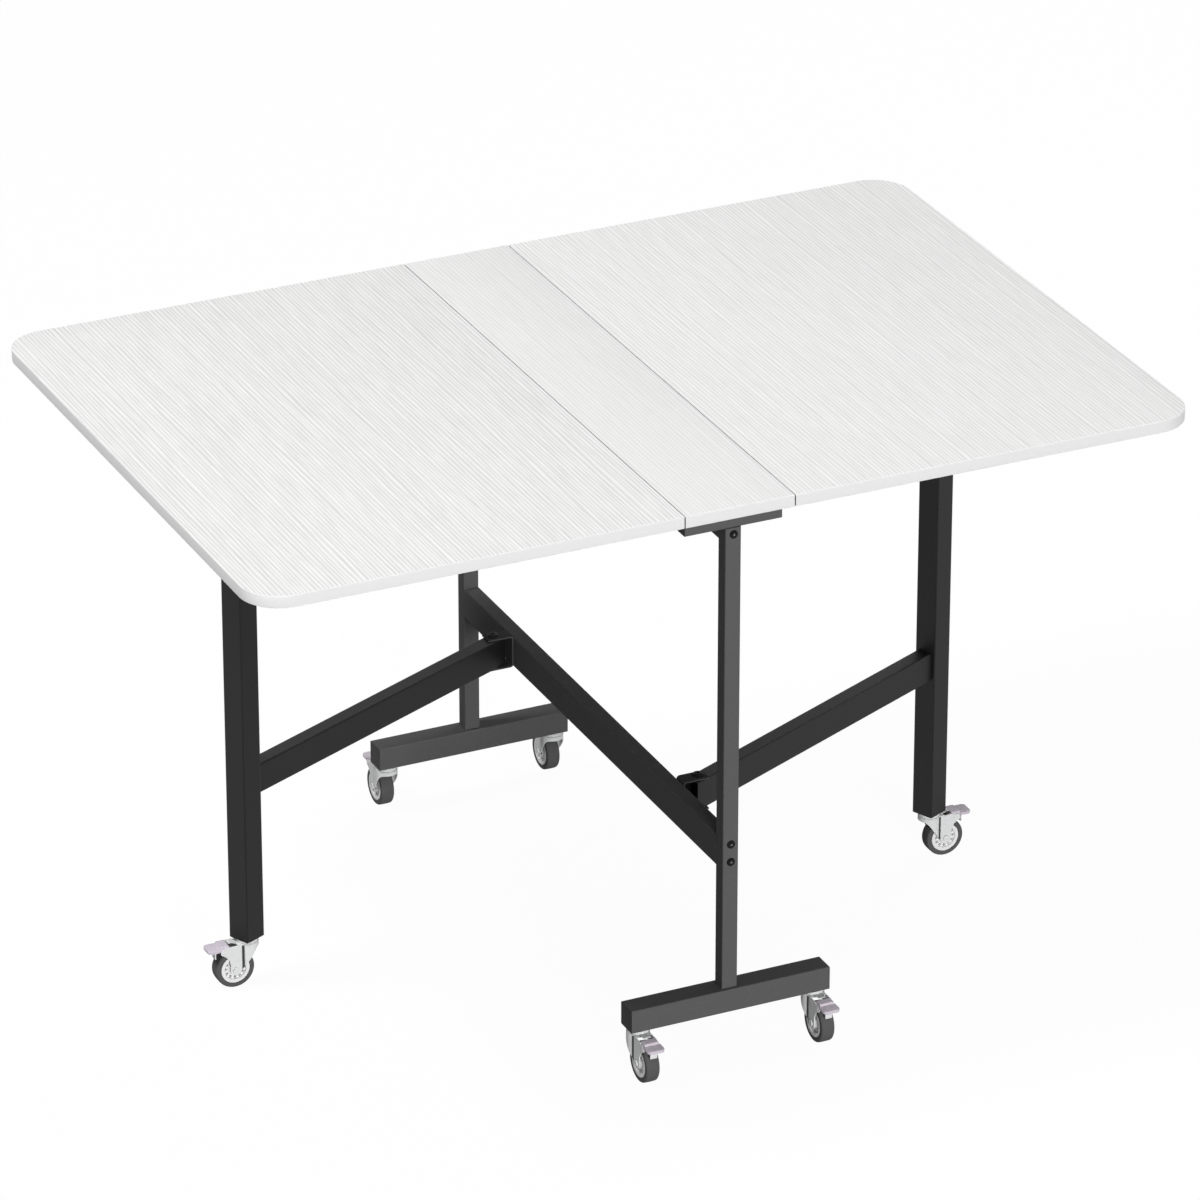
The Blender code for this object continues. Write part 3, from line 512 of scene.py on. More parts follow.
def make_tyre(name, centre, across):
    """A tyre: a closed profile of a crowned tread, round shoulders and flat sides, carried round."""
    steps = 128
    shoulder = 0.0024
    crown = 0.0002
    side = np.linspace(-1.0, 1.0, 9)
    tread_half = TYRE_HALF_WIDTH - shoulder
    tread = np.stack([WHEEL_RADIUS - crown * side**2, tread_half * side], axis=-1)
    turn_from = (WHEEL_RADIUS - crown - shoulder, -tread_half)
    turn_to = (WHEEL_RADIUS - crown - shoulder, tread_half)
    low_shoulder = arc(turn_from, shoulder, -90, 0, 8)[:-1]
    high_shoulder = arc(turn_to, shoulder, 0, 90, 8)[1:]
    lip = 0.0004
    seat = [
        (RIM_EDGE_RADIUS + lip, TYRE_HALF_WIDTH),
        (RIM_EDGE_RADIUS, TYRE_HALF_WIDTH - lip),
        (RIM_EDGE_RADIUS, lip - TYRE_HALF_WIDTH),
        (RIM_EDGE_RADIUS + lip, -TYRE_HALF_WIDTH),
    ]
    profile = np.concatenate([low_shoulder, tread, high_shoulder, seat])
    rings = stood(carried_round(profile[:, 0], profile[:, 1], steps), centre, across)
    faces = grid_faces(len(profile), steps, wrap_rows=True, wrap_columns=True)
    obj = mesh_object(name + "_tyre", rings, faces)
    dress(obj, name + "_wheel", [TYRE], [name + "_caster_wheel"])


def make_rim(name, centre, across):
    """A moulded rim: a raised ring, a sunk web with a ring of slots, and a hub that tapers to its bore.

    The web's depth is the slot's depth where the wave clip(0.3 + 3 cos(n a)) is up, between two radii."""
    slots = 12
    steps = 18 * slots
    angle = np.arange(steps) * 2.0 * pi / steps
    wave = np.clip(0.3 + 3.0 * np.cos(slots * angle), 0.0, 1.0)
    web, floor_depth = 0.0056, 0.0036
    face = TYRE_HALF_WIDTH - 0.0002
    slot_radii = np.array([0.01365, 0.0135, 0.0131, 0.0117, 0.0104, 0.0100, 0.00985])
    sunk = np.array([0.0, 0.0, 1.0, 1.0, 1.0, 0.0, 0.0])
    ring_radii = [0.01845, 0.0181, 0.0145, 0.0140, 0.01375]
    ring_level = [face - 0.0005, face, face, face - 0.0004, web + 0.0001]
    hub_radii = [0.0090, 0.0066, 0.0060, 0.0033]
    hub_level = [web, 0.0088, 0.0091, 0.0091]
    radii = np.concatenate([ring_radii, slot_radii, hub_radii])
    level = np.concatenate([ring_level, np.full(len(slot_radii), web), hub_level])
    depth = np.concatenate([np.zeros(len(ring_radii)), floor_depth * sunk, np.zeros(len(hub_radii))])
    upper = level[:, None] - depth[:, None] * wave[None, :]
    heights = np.concatenate([upper, -upper[::-1]])
    rings = carried_round(np.concatenate([radii, radii[::-1]]), heights, steps)
    rows = 2 * len(radii)
    faces = grid_faces(rows, steps, wrap_rows=True, wrap_columns=True)
    # Painted shade: the slot floors take the tyre's dark finish
    painted_slot_shade = np.concatenate([depth, depth[::-1]])[:, None] * wave[None, :] > 0.5 * floor_depth
    finish_index = painted_slot_shade.reshape(-1)[faces].all(axis=1)
    obj = mesh_object(name + "_rim", stood(rings, centre, across), faces, finish_index)
    dress(obj, name + "_wheel", [RIM, TYRE])


def plan_length(along):
    """How far along a fork's plan, from the nose, a place on the trail lies, on either side.

    On the cup and in the neck it is radius times the angle turned, and on the cheek it is straight."""
    cup_end = FORK_CUP_RADIUS * np.cos(NECK_MEET)
    on_cup = FORK_CUP_RADIUS * np.arccos(np.clip(-along / FORK_CUP_RADIUS, -1.0, 1.0))
    neck_turn = np.arccos(np.clip((NECK_X - along) / FORK_NECK_RADIUS, 0.0, 1.0)) - NECK_MEET
    in_neck = CUP_LENGTH + FORK_NECK_RADIUS * neck_turn
    on_cheek = CUP_LENGTH + NECK_LENGTH + along - NECK_X
    past_cup = np.where(along < NECK_X, in_neck, on_cheek)
    return np.where(along < cup_end, on_cup, past_cup)


def plan_point(length):
    """A point of a fork's plan and its outward direction, by the length from the nose.

    The plan is a cup about the swivel axis, a hollow neck that turns the other way, and a straight
    cheek. The outward direction turns by length over radius, back in the cup and on again in the neck."""
    back = np.clip(length, 0.0, CUP_LENGTH) / FORK_CUP_RADIUS
    on = np.clip(length - CUP_LENGTH, 0.0, NECK_LENGTH) / FORK_NECK_RADIUS
    straight = np.maximum(length - CUP_LENGTH - NECK_LENGTH, 0.0)
    outward = np.stack([np.cos(pi - back + on), np.sin(pi - back + on)], axis=-1)
    in_neck = np.array([NECK_X, NECK_Y]) - FORK_NECK_RADIUS * outward
    point = np.where((length <= CUP_LENGTH)[..., None], FORK_CUP_RADIUS * outward, in_neck)
    return point + np.stack([straight, 0.0 * straight], axis=-1), outward


def cheek_edges():
    """The low and high edge of a fork's side, as matching points of trail and height.

    The low edge is the nose's level rim, a fillet, the raked edge, the boss round the axle, the upright
    back, a hollow fillet and the underside of the ear. The high edge is level, steps down to the ear and
    rounds its end."""
    rake = np.radians(RAKE)
    outward = -np.array([np.sin(rake), np.cos(rake)])
    touch = np.array([TRAIL, WHEEL_RADIUS]) + BOSS_RADIUS * outward
    bend_z = NOSE_RIM - NOSE_FILLET
    bend_x = touch[0] + (NOSE_FILLET - (bend_z - touch[1]) * outward[1]) / outward[0]
    fillet_x = TRAIL + BOSS_RADIUS + REAR_FILLET
    across = PIVOT[0] - fillet_x
    rise = np.sqrt((REAR_FILLET + EAR_RADIUS) ** 2 - across**2)
    fillet_z = PIVOT[1] - rise
    to_ear = np.degrees(np.arctan2(rise, across))
    back = TRAIL + BOSS_RADIUS

    nose_turn = np.linspace(0.0, np.arccos(-bend_x / FORK_CUP_RADIUS), 18)
    nose = np.stack([-FORK_CUP_RADIUS * np.cos(nose_turn), np.full(18, NOSE_RIM)], axis=-1)
    fillet = arc((bend_x, bend_z), NOSE_FILLET, 90, 90 - RAKE, 10)[1:]
    raked = np.linspace(fillet[-1], touch, 26)[1:]
    boss = arc((TRAIL, WHEEL_RADIUS), BOSS_RADIUS, 270 - RAKE, 360, 20)[1:]
    upright = np.linspace((back, WHEEL_RADIUS), (back, fillet_z), 8)[1:]
    hollow = arc((fillet_x, fillet_z), REAR_FILLET, 180, to_ear, 12)[1:]
    ear = arc(PIVOT, EAR_RADIUS, to_ear - 180, -8, 19)[1:]
    low = np.concatenate([nose, fillet, raked, boss, upright, hollow, ear])

    curved = np.concatenate([nose, fillet, raked])[:, 0]
    steady = np.linspace(touch[0], EAR_STEP, len(boss) + len(upright) + len(hollow) + 1)[1:]
    level = np.concatenate([curved, steady])
    under_crown = FORK_TOP - FORK_PLATE
    step_length = 0.0004
    rise_to_top = np.clip((level - CROWN_LENGTH) / step_length, 0.0, 1.0)
    high = np.stack([level, under_crown + (CHEEK_TOP - under_crown) * rise_to_top], axis=-1)
    ear_top = PIVOT[1] + EAR_RADIUS
    step = np.linspace((EAR_STEP, CHEEK_TOP), (PIVOT[0] - EAR_RADIUS, ear_top), 5)[1:]
    flat = np.linspace(step[-1], (PIVOT[0], ear_top), 5)[1:]
    tip = arc(PIVOT, EAR_RADIUS, 90, 8, 11)[1:]
    return low, np.concatenate([high, step, flat, tip])


def fork_sheet():
    """A fork's cup and cheeks as a sheet with thickness, about the swivel axis.

    The sheet is drawn flat, as length along the plan and height, by straight lines between its two edges,
    and then bent round the plan. The other side is its mirror image, and the inside lies one plate in."""
    low, high = cheek_edges()
    low = np.stack([plan_length(low[:, 0]), low[:, 1]], axis=-1)
    high = np.stack([plan_length(high[:, 0]), high[:, 1]], axis=-1)
    share = np.linspace(0.0, 1.0, 9)[None, :, None]
    flat = low[:, None, :] + share * (high - low)[:, None, :]
    plan, outward = plan_point(flat[..., 0])
    sides = []
    for inset in (0.0, FORK_PLATE):
        near = np.concatenate([plan - inset * outward, flat[..., 1:]], axis=-1)
        far = near[:0:-1] * np.array([1.0, -1.0, 1.0])
        sides.append(np.concatenate([far, near]))
    columns, rows = sides[0].shape[:2]
    points = np.concatenate([side.reshape(-1, 3) for side in sides])
    return points, shell_faces(columns, rows)


def painted_shade_share(along):
    """How far a place on a fork's trail lies in the band of painted shade on its neck, from 0 to 1 with
    faded ends.
    """
    into = np.clip((along - PAINTED_SHADE_FROM) / PAINTED_SHADE_FADE, 0.0, 1.0)
    out_of = np.clip((PAINTED_SHADE_TO - along) / PAINTED_SHADE_FADE, 0.0, 1.0)
    return into * out_of


def fork_crown():
    """A fork's crown: its plan cut off square at the back, with an eased rim and the kingpin's hole.

    Rings of the outline run from the underside up and over the rim, and the hole's two rings close it."""
    corner = 0.001
    hole_radius = 0.0043
    length = np.linspace(0.0, plan_length(np.array(CROWN_LENGTH - corner)), 40)
    side, side_out = plan_point(length)
    turn = np.radians(np.linspace(90.0, 0.0, 6))[1:]
    turn_out = np.stack([np.cos(turn), np.sin(turn)], axis=-1)
    turn_at = np.array([CROWN_LENGTH - corner, CHEEK_OUTSIDE - corner]) + corner * turn_out
    half = np.concatenate([side, turn_at])[::-1]
    half_out = np.concatenate([side_out, turn_out])[::-1]
    mirror = np.array([1.0, -1.0])
    points = np.concatenate([half, half[-2::-1] * mirror])
    outward = np.concatenate([half_out, half_out[-2::-1] * mirror])
    outer = eased_rings(points, outward, FORK_TOP - FORK_PLATE, FORK_TOP, CROWN_EASE)
    bearing = np.arctan2(points[:, 1], points[:, 0])
    hole = hole_radius * np.stack([np.cos(bearing), np.sin(bearing)], axis=-1)
    lower = np.concatenate([hole, np.full((len(hole), 1), FORK_TOP - FORK_PLATE)], axis=-1)
    upper = np.concatenate([hole, np.full((len(hole), 1), FORK_TOP)], axis=-1)
    rings = np.concatenate([lower[None], outer, upper[None]])
    return rings.reshape(-1, 3), grid_faces(*rings.shape[:2], wrap_rows=True, wrap_columns=True)


def low_dome(radius, height):
    """Rings of a rivet's head from its foot: a short wall, then a shallow dome to a small flat."""
    angle = np.linspace(0.0, 0.5 * pi, 7)[:-1]
    brow = 0.3 * height
    flat_radii = radius * np.array([0.6, 0.3])
    flat_heights = height * np.array([0.92, 1.0])
    radii = np.concatenate([[radius], radius - brow + brow * np.cos(angle), flat_radii])
    heights = np.concatenate([[0.0], 0.5 * height + brow * np.sin(angle), flat_heights])
    return carried_round(radii, heights, 32)


def joined(*meshes):
    """Several meshes of points and faces as one, with the faces counted on."""
    points = []
    faces = []
    for mesh_points, mesh_faces in meshes:
        start = sum(len(done) for done in points)
        points.append(mesh_points.reshape(-1, 3))
        faces += [[int(corner) + start for corner in face] for face in mesh_faces]
    return np.concatenate(points), faces


def make_fork(name, axes, foot):
    """The pressed fork: cup and cheeks, crown, and a low rivet on each ear."""
    rivet_radius, rivet_height = 0.0024, 0.0006
    rivets = []
    for side in (-1.0, 1.0):
        dome = low_dome(rivet_radius, rivet_height)
        place = (PIVOT[0], side * CHEEK_OUTSIDE, PIVOT[1])
        rivets.append((stood(dome, place, (0.0, side, 0.0)), capped_faces(*dome.shape[:2])))
    sheet = fork_sheet()
    points, faces = joined(sheet, fork_crown(), *rivets)
    obj = mesh_object(name + "_fork", points @ axes + foot, faces)
    # Painted shade: each point's share of the dark band along the neck, kept as an attribute
    share = np.zeros(len(points))
    share[:len(sheet[0])] = painted_shade_share(sheet[0][:, 0])
    obj.data.attributes.new(PAINTED_SHADE_ATTRIBUTE, "FLOAT", "POINT").data.foreach_set("value", share)
    dress(obj, name + "_caster", [FORK_ZINC_PAINTED_SHADE], [name + "_caster_fork"])


def make_stem(name, foot):
    """The raceway cap, the stem up into the tube and the kingpin below, carried round from one profile."""
    head, head_low, head_high = 0.0070, 0.0541, 0.0561
    lip_round, brow_round, stem_edge = 0.0007, 0.0026, 0.0005
    pin = KINGPIN_RADIUS
    below = [(head, head_low), (head, head_high), (pin, head_high), (pin, RACE_BOTTOM)]
    lip = arc((RACE_RADIUS - lip_round, RACE_BOTTOM + lip_round), lip_round, -90, 0, 5)
    brow = arc((RACE_RADIUS - brow_round, RACE_TOP - brow_round), brow_round, 0, 90, 9)
    above = [(pin, RACE_TOP), (pin, STEM_TOP - stem_edge), (pin - stem_edge, STEM_TOP)]
    profile = np.concatenate([below, lip, brow, above])
    rings = carried_round(profile[:, 0], profile[:, 1]) + foot
    obj = mesh_object(name + "_stem", rings, capped_faces(*rings.shape[:2]))
    node = name + "_caster_stem"
    dress(obj, nodes[node]["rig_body"], [ZINC], [node])


def make_axle(name, centre, across):
    """The axle: a shank with a head at each end that is rolled over to a ring round a dimple."""
    under = CHEEK_OUTSIDE + 0.0003
    half = np.array(
        [
            (0.0030, under),
            (0.0039, under),
            (0.0040, under + 0.0003),
            (0.0040, under + 0.0009),
            (0.0036, under + 0.0014),
            (0.0030, under + 0.0015),
            (0.0024, under + 0.0013),
            (0.0012, under + 0.0011),
        ]
    )
    profile = np.concatenate([half[::-1] * np.array([1.0, -1.0]), half])
    rings = stood(carried_round(profile[:, 0], profile[:, 1], 40), centre, across)
    obj = mesh_object(name + "_axle", rings, capped_faces(*rings.shape[:2]))
    dress(obj, name + "_caster", [ZINC], [name + "_caster_axle"])


def pedal_rings():
    """A pedal about its pivot: round-cornered cross-sections from its heel to its tip.

    The top is a high tread, a raked riser and a low tread. The underside rises from the hub to the low
    tread's. The half width steps out at the low tread and draws in over a quarter circle at the tip."""
    heel, step, foot_of_riser, tip = -0.0072, 0.0036, 0.0050, 0.0200
    high, low, under, corner, edge = 0.0076, 0.0050, 0.0012, 0.0052, 0.0006
    narrow, wide = 0.0091, 0.0108
    heel_round, heel_under, hub_radius = 0.0012, 0.0049, 0.0028
    heel_turn = np.linspace(0.0, 0.5 * pi, 6)
    tip_turn = np.linspace(0.0, 0.5 * pi, 14)
    along = np.concatenate(
        [
            heel + heel_round * (1 - np.cos(heel_turn)),
            np.linspace(-0.0052, step - 0.0005, 18),
            np.linspace(step - 0.0003, foot_of_riser + 0.0004, 10),
            np.linspace(0.0062, tip - corner - 0.0004, 8),
            tip - corner + corner * np.sin(tip_turn),
        ]
    )
    top = np.interp(along, [step, foot_of_riser], [high, low])
    into_heel = np.clip(heel + heel_round - along, 0.0, None)
    heel_fall = heel_round - np.sqrt(np.clip(heel_round**2 - into_heel**2, 0.0, None))
    hub = -np.sqrt(np.clip(hub_radius**2 - along**2, 0.0, None))
    before_hub = np.interp(along, [heel, -0.0024], [heel_under, -0.0014])
    past_hub = np.interp(along, [0.0014, foot_of_riser], [-0.0024, under])
    bottom = np.where(along < 0.0, before_hub, past_hub)
    bottom = np.minimum(bottom, np.where(np.abs(along) < hub_radius, hub, 1.0))
    into_tip = np.clip(along - (tip - corner), 0.0, None)
    drawn = corner - np.sqrt(np.clip(corner**2 - into_tip**2, 0.0, None))
    width = np.interp(along, [foot_of_riser - 0.0004, foot_of_riser + 0.0004], [narrow, wide]) - drawn
    tip_ease = np.interp(along, [tip - 0.0006, tip], [0.0, 0.0005])
    top = top - heel_fall - tip_ease
    bottom = bottom + tip_ease
    per_corner = 5
    quarter = np.linspace(0.0, 90.0, per_corner)
    turn = np.radians((np.array([0.0, 90.0, 180.0, 270.0])[:, None] + quarter).reshape(-1))
    corner_side = np.repeat([1.0, -1.0, -1.0, 1.0], per_corner)
    corner_up = np.repeat([1.0, 1.0, 0.0, 0.0], per_corner)
    across = (width[:, None] - edge) * corner_side + edge * np.cos(turn)
    inner_top = top[:, None] - edge
    inner_bottom = bottom[:, None] + edge
    height = np.where(corner_up > 0.5, inner_top, inner_bottom) + edge * np.sin(turn)
    return np.stack([np.broadcast_to(along[:, None], across.shape), across, height], axis=-1)


def make_pedal(name, axes, foot):
    """The lilac pedal and, under its tread, the plate that brakes the tyre.

    The plate is an eased slab, drawn flat with round corners and stood up by changing its X and Z over."""
    pivot = foot + np.array([PIVOT[0], 0.0, PIVOT[1]]) @ axes
    rings = pedal_rings()
    obj = mesh_object(name + "_pedal", rings @ axes + pivot, capped_faces(*rings.shape[:2]))
    dress(obj, name + "_pedal", [PEDAL], [name + "_brake_pedal"])
    plate_low, plate_high = (-0.0105, -0.0045), (0.0030, 0.0045)
    plate_near, plate_far, plate_ease = 0.0083, 0.0097, 0.0002
    plate_corners = [0.0012, 0.0004, 0.0004, 0.0012]
    points, outward = rounded_outline(plate_low, plate_high, plate_corners, 6)
    slab = eased_rings(points, outward, plate_near, plate_far, plate_ease)
    slab = slab[..., [2, 1, 0]]
    faces = [face[::-1] for face in capped_faces(*slab.shape[:2])]
    obj = mesh_object(name + "_shoe", slab @ axes + pivot, faces)
    dress(obj, name + "_pedal", [ZINC])


def make_spring(name, axes, foot):
    """A leaf spring from the crown towards the pedal's heel: a strip that arches up and over.

    Its height follows a squared sine of the way along it, and its half width runs between three places."""
    rows, columns = 25, 13
    start, length, base, arch, plate = 0.0143, 0.0117, 0.0580, 0.0021, 0.0004
    along = np.linspace(0.0, 1.0, rows)
    across = np.linspace(1.0, -1.0, columns)
    reach = start + length * along
    rise = base + arch * np.sin(0.62 * pi * along) ** 2
    half = np.interp(along, [0.0, 0.25, 1.0], [0.0050, 0.0058, 0.0046])
    sideways = half[:, None] * across
    ahead = np.broadcast_to(reach[:, None], sideways.shape)
    upward = np.broadcast_to(rise[:, None], sideways.shape)
    upper = np.stack([ahead, sideways, upward], axis=-1).reshape(-1, 3)
    sheet = np.concatenate([upper, upper - plate * UP])
    obj = mesh_object(name + "_spring", sheet @ axes + foot, shell_faces(rows, columns))
    dress(obj, name + "_caster", [ZINC])


def make_caster(name):
    """A caster at its swivel axis, its trail towards the axle, with all its pieces on their bodies."""
    swivel = joint_place[name + "_swivel"]
    centre = joint_place[name + "_roll"]
    heading = (centre - swivel) * np.array([1.0, 1.0, 0.0])
    heading /= np.linalg.norm(heading)
    across = np.cross(UP, heading)
    axes = np.stack([heading, across, UP])
    foot = swivel * np.array([1.0, 1.0, 0.0])
    make_tyre(name, centre, across)
    make_rim(name, centre, across)
    make_fork(name, axes, foot)
    make_stem(name, foot)
    make_axle(name, centre, across)
    make_pedal(name, axes, foot)
    make_spring(name, axes, foot)


# Fasteners


def six_sided(flat, steps):
    """Radius of a hexagon round the circle, from its half width across flats."""
    angle = np.arange(steps) * 2.0 * pi / steps
    return flat / np.cos((angle % (pi / 3.0)) - pi / 6.0)


def crossed(arm, half, steps):
    """Radius of a cross with round ends round the circle, from its arm's length and half its width."""
    angle = np.arange(steps) * 2.0 * pi / steps
    nearest = np.minimum(np.abs(np.sin(angle)), np.abs(np.cos(angle)))
    return np.minimum(arm, half / np.maximum(nearest, 1e-6))


def button_head(radius, height, recess, depth):
    """Rings of a button head from its foot, over its dome and down into a recess of a given outline."""
    steps = len(recess)
    turn = np.linspace(0.0, 0.5 * pi, 9)
    crown = 1.15 * recess.max()
    dome = crown + (radius - crown) * np.cos(turn)
    rise = 0.22 * height + 0.78 * height * np.sin(turn)
    circles = np.concatenate([[radius], dome])[:, None] + np.zeros(steps)
    radii = np.concatenate([circles, recess[None], 0.98 * recess[None], 0.94 * recess[None]])
    heights = np.concatenate([[0.0], rise, [height, height - 0.0002, height - depth]])
    return carried_round(radii, heights, steps)


def make_head(name, body, finishes, rings, place, outward):
    """One screw or bolt head that stands on a surface and faces outward, its recess in the last finish."""
    along_x = UP if abs(outward[2]) < 0.5 else np.array([1.0, 0.0, 0.0])
    faces = capped_faces(*rings.shape[:2])
    finish_index = np.zeros(len(faces))
    finish_index[-1] = len(finishes) - 1
    obj = mesh_object(name, stood(rings, place, outward, along_x), faces, finish_index)
    dress(obj, body, finishes)


def make_post_bolts():
    """Three socket bolts through each post into the rails behind it."""
    socket_depth = 0.0008
    socket = six_sided(POST_BOLT_SOCKET, 48)
    rings = button_head(POST_BOLT_RADIUS, POST_BOLT_HEIGHT, socket, socket_depth)
    # The socket floor's lighter grey is a painted highlight
    finishes = [BLACK_BOLT, SOCKET_PAINTED_HIGHLIGHT]
    for end, outward in ENDS.items():
        low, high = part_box(f"{end}_post")
        face = low[1] if outward < 0 else high[1]
        for number, height in enumerate(POST_BOLT_HEIGHTS, 1):
            place = (0.5 * (low[0] + high[0]), face, height)
            name = f"{end}_post_bolt_{number}"
            make_head(name, "frame", finishes, rings, place, (0.0, outward, 0.0))


def make_screws():
    """Cross-head screws from below: two in each hinge plate and two in each crossbar."""
    cross_arm, cross_half, cross_depth = 0.0019, 0.0004, 0.0009
    cross = crossed(cross_arm, cross_half, 48)
    rings = button_head(SCREW_HEAD_RADIUS, SCREW_HEAD_HEIGHT, cross, cross_depth)
    down = (0.0, 0.0, -1.0)
    for side, side_sign in SIDES.items():
        for end in ENDS:
            for half in ("fixed", "leaf"):
                node = f"{side}_{end}_hinge_{half}_plate"
                low, high = (np.array(corner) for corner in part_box(node))
                away = side_sign if half == "leaf" else -side_sign
                far = high[0] if away > 0 else low[0]
                middle = (far - away * HINGE_PLATE_REACH / 2, (low[1] + high[1]) / 2)
                for number, shift in enumerate((-HINGE_SCREW_SPACING / 2, HINGE_SCREW_SPACING / 2), 1):
                    place = (middle[0], middle[1] + shift, high[2] - HINGE_PLATE)
                    name = f"{node}_screw_{number}"
                    make_head(name, nodes[node]["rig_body"], [ZINC], rings, place, down)
    for end in ENDS:
        node = f"{end}_crossbar"
        low, high = (np.array(corner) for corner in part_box(node))
        for number, shift in enumerate((-CROSSBAR_SCREW_SPACING / 2, CROSSBAR_SCREW_SPACING / 2), 1):
            place = ((low[0] + high[0]) / 2 + shift, (low[1] + high[1]) / 2, low[2])
            name = f"{node}_screw_{number}"
            make_head(name, "frame", [BLACK_BOLT], rings, place, down)


def make_gate_pins():
    """The gates' bolts in place of each pin: a socket head, the shank, and a tail riveted over below.

    The tail and the head's dome are quarter waves, and the tail starts where the pin's nut does."""
    steps = 48
    tail_wall, dome_rise, socket_edge, socket_depth = 0.0004, 0.0016, 0.0002, 0.0022
    circle = np.ones(steps)
    socket = six_sided(GATE_SOCKET, steps)
    turn = np.linspace(0.0, 0.5 * pi, 8)
    tail = GATE_TAIL_RADIUS / 2 * (1.0 + np.sin(turn))
    dome = GATE_BOLT_RADIUS + (GATE_HEAD_RADIUS - GATE_BOLT_RADIUS) * np.cos(turn)
    shank = [GATE_TAIL_RADIUS, GATE_BOLT_RADIUS, GATE_BOLT_RADIUS, GATE_HEAD_RADIUS]
    round_radii = np.concatenate([tail, shank, dome])[:, None] * circle
    radii = np.concatenate([round_radii, [socket, 0.98 * socket, 0.94 * socket]])
    for side in SIDES:
        node = f"{side}_gate_pin"
        low, high = (np.array(corner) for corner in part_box(node))
        middle = (low + high) / 2
        top = high[2] - middle[2]
        head_foot = top - GATE_HEAD_HEIGHT
        tail_top = low[2] - middle[2] + GATE_PIN_NUT
        tail_z = tail_top - tail_wall - (GATE_TAIL_HEIGHT - tail_wall) * np.cos(turn)
        shank_z = [tail_top, tail_top, head_foot, head_foot]
        dome_z = top - dome_rise + dome_rise * np.sin(turn)
        socket_z = [top, top - socket_edge, top - socket_depth]
        heights = np.concatenate([tail_z, shank_z, dome_z, socket_z])
        rings = carried_round(radii, heights, steps) + middle
        obj = mesh_object(f"{side}_gate_bolt", rings, capped_faces(*rings.shape[:2]))
        dress(obj, nodes[node]["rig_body"], [BLACK_BOLT], [node])


make_top()
for caster in CASTERS:
    make_caster(caster)
make_post_bolts()
make_screws()
make_gate_pins()

# Finishes of the CAD nodes
for name, obj in nodes.items():
    finish = next((NODE_FINISHES[word] for word in NODE_FINISHES if word in name), POWDER_COAT)
    obj.data.materials.clear()
    obj.data.materials.append(finish)


def place_camera():
    """The photograph's camera, by its place, direction, lens and shift."""
    camera_data = bpy.data.cameras.new("camera")
    camera_data.sensor_width = 36.0
    camera_data.lens = CAMERA_LENS
    camera_data.shift_x, camera_data.shift_y = CAMERA_SHIFT
    camera_data.clip_end = 100.0
    camera = bpy.data.objects.new("camera", camera_data)
    camera.location = CAMERA_PLACE
    camera.rotation_euler = (radians(90.0 - CAMERA_ELEVATION), 0.0, radians(CAMERA_AZIMUTH))
    bpy.context.scene.collection.objects.link(camera)
    bpy.context.scene.camera = camera


def area_lamp(name, place, target, size, power):
    """A square soft box that faces a target."""
    lamp = bpy.data.lights.new(name, "AREA")
    lamp.shape = "SQUARE"
    lamp.size = size
    lamp.energy = power
    obj = bpy.data.objects.new(name, lamp)
    direction = np.array(target, float) - np.array(place, float)
    yaw = np.arctan2(direction[0], -direction[1])
    pitch = np.arctan2(np.hypot(direction[0], direction[1]), -direction[2])
    obj.location = place
    obj.rotation_euler = (pitch, 0.0, pi + yaw)
    bpy.context.scene.collection.objects.link(obj)
    return obj


def seen_rays(tree):
    """One where a ray from the camera, a mirror or a clear body looks at the stage, else zero."""
    path = tree.nodes.new("ShaderNodeLightPath")
    total = path.outputs["Is Camera Ray"]
    for other in ("Is Glossy Ray", "Is Transmission Ray"):
        add = tree.nodes.new("ShaderNodeMath")
        add.operation = "MAXIMUM"
        tree.links.new(total, add.inputs[0])
        tree.links.new(path.outputs[other], add.inputs[1])
        total = add.outputs["Value"]
    return total


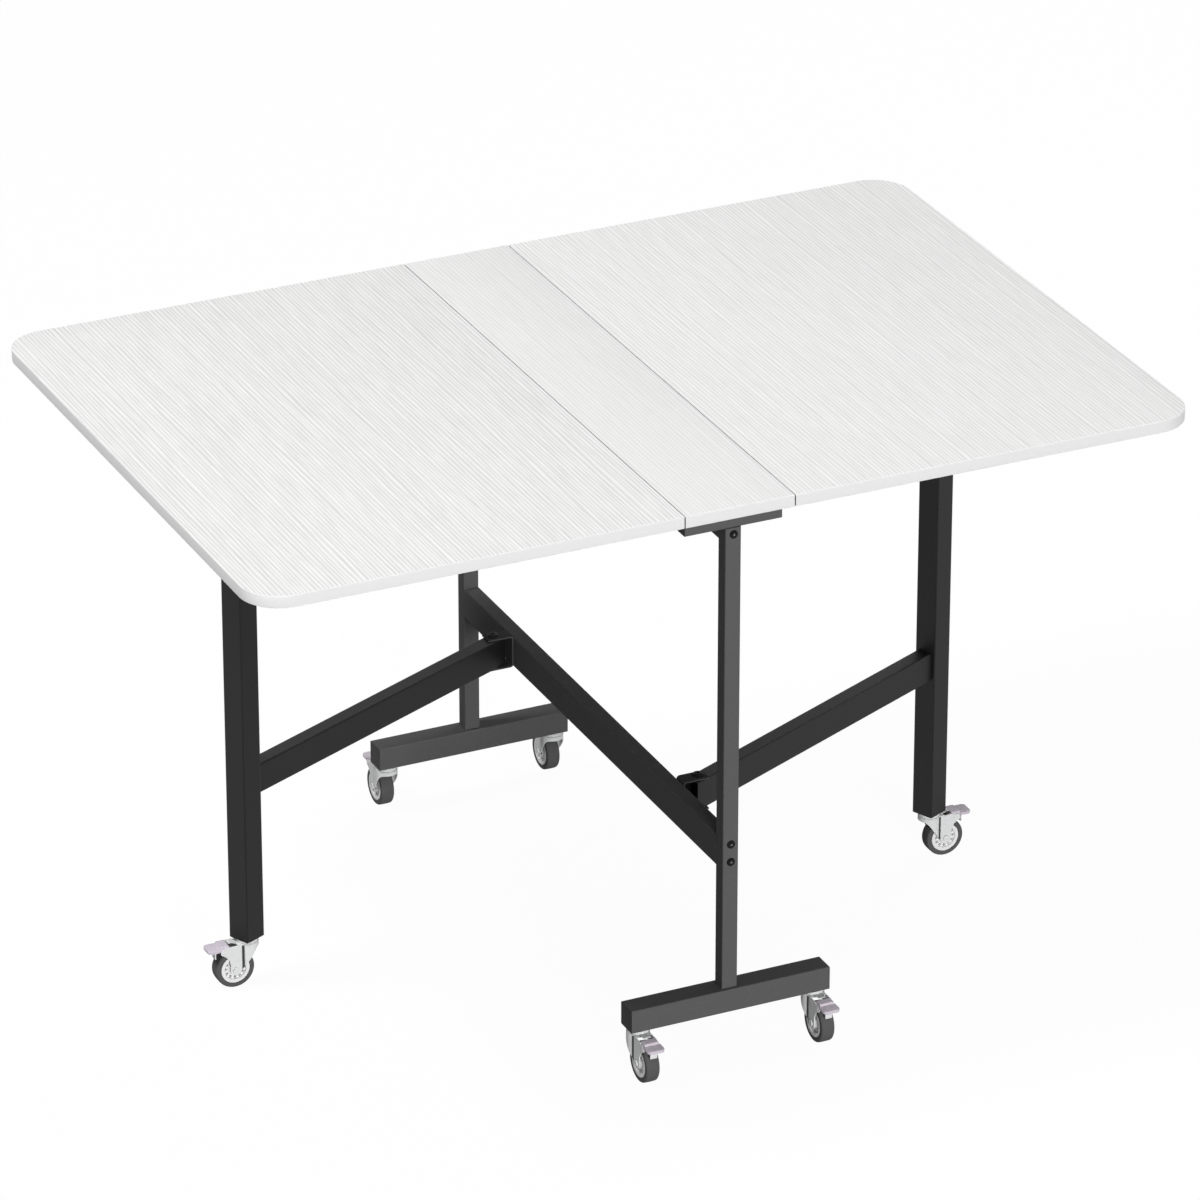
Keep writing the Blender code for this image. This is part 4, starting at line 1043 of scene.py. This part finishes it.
def light_stage():
    """White surroundings, an even fill from the sky, and three soft boxes, the low one without glare."""
    world = bpy.data.worlds.new("studio")
    bpy.context.scene.world = world
    world.use_nodes = True
    tree = world.node_tree
    fill = tree.nodes["Background"]
    fill.inputs["Color"].default_value = WHITE
    fill.inputs["Strength"].default_value = SKY_FILL
    white = tree.nodes.new("ShaderNodeBackground")
    white.inputs["Color"].default_value = WHITE
    white.inputs["Strength"].default_value = 1.0
    mix = tree.nodes.new("ShaderNodeMixShader")
    tree.links.new(seen_rays(tree), mix.inputs["Fac"])
    tree.links.new(fill.outputs["Background"], mix.inputs[1])
    tree.links.new(white.outputs["Background"], mix.inputs[2])
    tree.links.new(mix.outputs["Shader"], tree.nodes["World Output"].inputs["Surface"])
    key = area_lamp("key", (-0.7, -9.0, 1.7), target=(0.0, 0.0, 0.4), size=3.5, power=640.0)
    key.visible_glossy = False
    area_lamp("left", (-5.1, 0.8, 8.5), target=(0.0, 0.0, 0.6), size=2.8, power=626.0)
    area_lamp("right", (3.8, 2.0, 4.2), target=(0.0, 0.0, 0.6), size=2.6, power=76.0)


def lay_floor():
    """A floor that shows white with a faint share of the object's shadow, and bounces a little light."""
    half = 12.0
    corners = np.array([[-half, -half, 0], [half, -half, 0], [half, half, 0], [-half, half, 0]], float)
    floor = mesh_object("floor", corners, [[0, 1, 2, 3]])
    finish = bpy.data.materials.new("floor_paper")
    finish.use_nodes = True
    tree = finish.node_tree
    tree.nodes.remove(tree.nodes["Principled BSDF"])
    bounce = tree.nodes.new("ShaderNodeBsdfDiffuse")
    bounce.inputs["Color"].default_value = (*grey(FLOOR_BOUNCE), 1.0)
    paper = tree.nodes.new("ShaderNodeBsdfDiffuse")
    paper.inputs["Color"].default_value = WHITE
    glow = tree.nodes.new("ShaderNodeEmission")
    glow.inputs["Strength"].default_value = 1.0
    shown = tree.nodes.new("ShaderNodeMixShader")
    shown.inputs["Fac"].default_value = SHADOW_SHARE
    tree.links.new(glow.outputs["Emission"], shown.inputs[1])
    tree.links.new(paper.outputs["BSDF"], shown.inputs[2])
    mix = tree.nodes.new("ShaderNodeMixShader")
    tree.links.new(seen_rays(tree), mix.inputs["Fac"])
    tree.links.new(bounce.outputs["BSDF"], mix.inputs[1])
    tree.links.new(shown.outputs["Shader"], mix.inputs[2])
    tree.links.new(mix.outputs["Shader"], tree.nodes["Material Output"].inputs["Surface"])
    floor.data.materials.append(finish)


place_camera()
light_stage()
lay_floor()
bpy.context.scene.view_settings.view_transform = "Standard"
